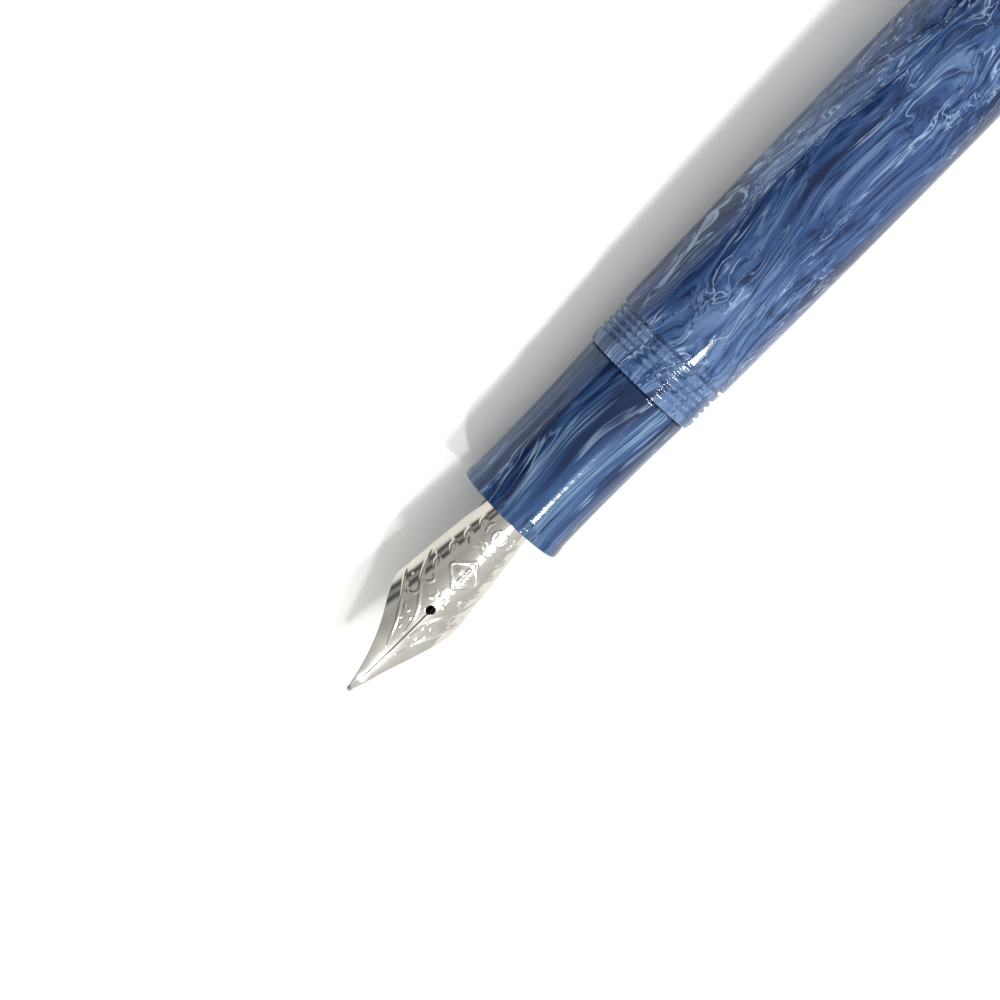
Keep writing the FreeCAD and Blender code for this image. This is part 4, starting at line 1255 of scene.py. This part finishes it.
@dataclass
class Studio:
    """Pale floor, soft surroundings, small lamps in a row and the camera."""

    low_light: float = 0.45
    high_light: float = 1.10
    focus_at: float = 25.04
    focus_side: float = 1.8
    distance: float = 317.0
    lean_along: float = math.radians(5.9)
    lean_across: float = math.radians(19.0)
    axis_angle: float = math.radians(45.76)
    view_angle: float = math.radians(18.47)
    lip_at: float = 25.02
    lip: float = 6.34
    floor_gap: float = 0.00002
    bright_side: tuple[float, float, float] = (0.0, -0.55, 0.83)

    def axes(self) -> tuple[Vector, Vector, Vector]:
        """Direction to the camera, direction across the pen in the view, and along it."""
        back = Vector((math.sin(self.lean_along),
                       math.cos(self.lean_along) * math.sin(self.lean_across),
                       math.cos(self.lean_along) * math.cos(self.lean_across)))
        along = (Vector((1, 0, 0)) - back * back.x).normalized()
        return back, back.cross(along), along

    def build_camera(self) -> None:
        """Camera above the nib, rolled so that the pen rises to the upper right."""
        back, across, along = self.axes()
        right = along * math.cos(self.axis_angle) - across * math.sin(self.axis_angle)
        up = along * math.sin(self.axis_angle) + across * math.cos(self.axis_angle)
        target = SPACE.point(self.focus_at, 0, 0) + across * (self.focus_side / MM)
        data = bpy.data.cameras.new("camera")
        data.sensor_width = 36.0
        data.lens = 18.0 / math.tan(self.view_angle / 2)
        data.clip_start, data.clip_end = 0.01, 20.0
        camera = bpy.data.objects.new("camera", data)
        camera.matrix_world = Matrix.Translation(target + back * (self.distance / MM)) \
            @ Matrix((right, up, back)).transposed().to_4x4()
        bpy.context.scene.collection.objects.link(camera)
        bpy.context.scene.camera = camera

    def build_floor(self) -> None:
        """Floor that touches the section's lip and the clip's bead."""
        low = CAD_BOX[0].z - SPACE.axis_z
        bead = Clip().bead_at
        slope = (-low * MM - self.lip) / (bead - self.lip_at)
        size = 4.0
        ends = np.array([-size, size])
        x, y = np.meshgrid(ends, ends, indexing="ij")
        lip_x = SPACE.tip_x + self.lip_at / MM
        z = SPACE.axis_z - self.lip / MM - slope * (x - lip_x) - self.floor_gap
        mesh = bpy.data.meshes.new("floor")
        mesh.from_pydata(np.stack([x, y, z], -1).reshape(-1, 3).tolist(), [], [(0, 2, 3, 1)])
        floor = bpy.data.objects.new("floor", mesh)
        bpy.context.scene.collection.objects.link(floor)
        made = bpy.data.materials.new("pale_floor")
        made.use_nodes = True
        shader = made.node_tree.nodes["Principled BSDF"]
        g = Graph(made.node_tree)
        mirrored = g.add("LightPath", out="Is Glossy Ray")
        g.tree.links.new(g.mix(mirrored, (0.93, 0.93, 0.90, 1), (0.58, 0.575, 0.55, 1)),
                         shader.inputs["Base Color"])
        shader.inputs["Roughness"].default_value = 0.75
        shader.inputs["Specular IOR Level"].default_value = 0.2
        mesh.materials.append(made)

    def build_world(self) -> None:
        """Surroundings by kind of ray.

        Mirrors see strips set by the angle across the pen. Matt surfaces see a soft dome that
        brightens upwards and to the pen's right-hand side.
        """
        back, across, _ = self.axes()
        world = bpy.data.worlds.new("surroundings")
        bpy.context.scene.world = world
        world.use_nodes = True
        world.node_tree.nodes.clear()
        g = Graph(world.node_tree)
        way = g.add("TexCoord", out="Generated")
        angle = g.math("ARCTAN2", g.vector("DOT_PRODUCT", way, tuple(across)),
                       g.vector("DOT_PRODUCT", way, tuple(back)))
        share = g.math("MULTIPLY_ADD", angle, 1.0 / TAU, 0.5)
        ramp = g.add("ValToRGB", {"Fac": share}, out=None)
        stops = [(-180, 0.5), (-100, 0.55), (-75, 0.62), (-45, 0.62), (-25, 0.56), (-8, 0.46),
                 (10, 0.36), (24, 0.42), (34, 0.46), (38, 0.05), (46, 0.04), (50, 0.34),
                 (56, 0.28), (59, 0.04), (66, 0.05), (72, 0.34), (100, 0.42), (180, 0.5)]
        points = ramp.color_ramp.elements
        while len(points) < len(stops):
            points.new(0.5)
        for point, (degrees, level) in zip(points, stops):
            point.position = degrees / 360.0 + 0.5
            point.color = (level, level, level * 0.985, 1)
        rise = g.ramp(g.vector("DOT_PRODUCT", way, self.bright_side), -0.35, 0.95)
        soft = g.mix(rise, (self.low_light,) * 3 + (1,), (self.high_light,) * 3 + (1,))
        diffuse = g.add("LightPath", out="Is Diffuse Ray")
        shade = g.add("Background", {"Color": g.mix(diffuse, ramp.outputs[0], soft),
                                     "Strength": 1.0})
        end = g.add("OutputWorld", out=None)
        world.node_tree.links.new(shade, end.inputs["Surface"])

    def add_lamp(self, name: str, toward: tuple[float, float, float], far: float,
                 size: tuple[float, float], power: float) -> None:
        """Area lamp aimed at the section.

        Args:
            name: Name of the lamp.
            toward: Direction from the section to the lamp.
            far: Distance in metres.
            size: Width along the pen and depth across it, in metres.
            power: Watts.
        """
        data = bpy.data.lights.new(name, "AREA")
        data.shape, data.size, data.size_y = "ELLIPSE", size[0], size[1]
        data.energy = power
        lamp = bpy.data.objects.new(name, data)
        way = Vector(toward).normalized()
        spot = SPACE.point(34.0, 0, 0) + way * far
        side = (Vector((1, 0, 0)) - way * way.x).normalized()
        lamp.matrix_world = Matrix.Translation(spot) \
            @ Matrix((side, way.cross(side), way)).transposed().to_4x4()
        bpy.context.scene.collection.objects.link(lamp)

    def build_lamps(self) -> None:
        """A row of lamps along the pen, on its right-hand side."""
        self.add_lamp("key_lamp", (-0.060, -0.405, 0.98), 0.55, (0.038, 0.12), 0.68)
        self.add_lamp("front_lamp", (-0.61, -0.38, 1.0), 0.6, (0.05, 0.05), 1.1)
        self.add_lamp("rear_lamp", (0.72, -0.31, 1.0), 0.6, (0.05, 0.05), 1.1)

    def build(self) -> None:
        """Make the whole studio."""
        self.build_camera()
        self.build_floor()
        self.build_world()
        self.build_lamps()
        bpy.context.scene.view_settings.view_transform = "Standard"


def main() -> None:
    """Build the pen from the nib back to the cap, then the studio."""
    logging.basicConfig(level=logging.INFO, format="%(message)s")
    Nib().build()
    end = WritingEnd()
    end.build_feed()
    end.build_housing()
    end.build_section()
    end.build_seal()
    Barrel().build()
    Converter().build()
    cap = Cap()
    cap.build_tube()
    cap.build_bands()
    cap.build_inside()
    Clip().build()
    Studio().build()


if __name__ == "__main__":
    main()
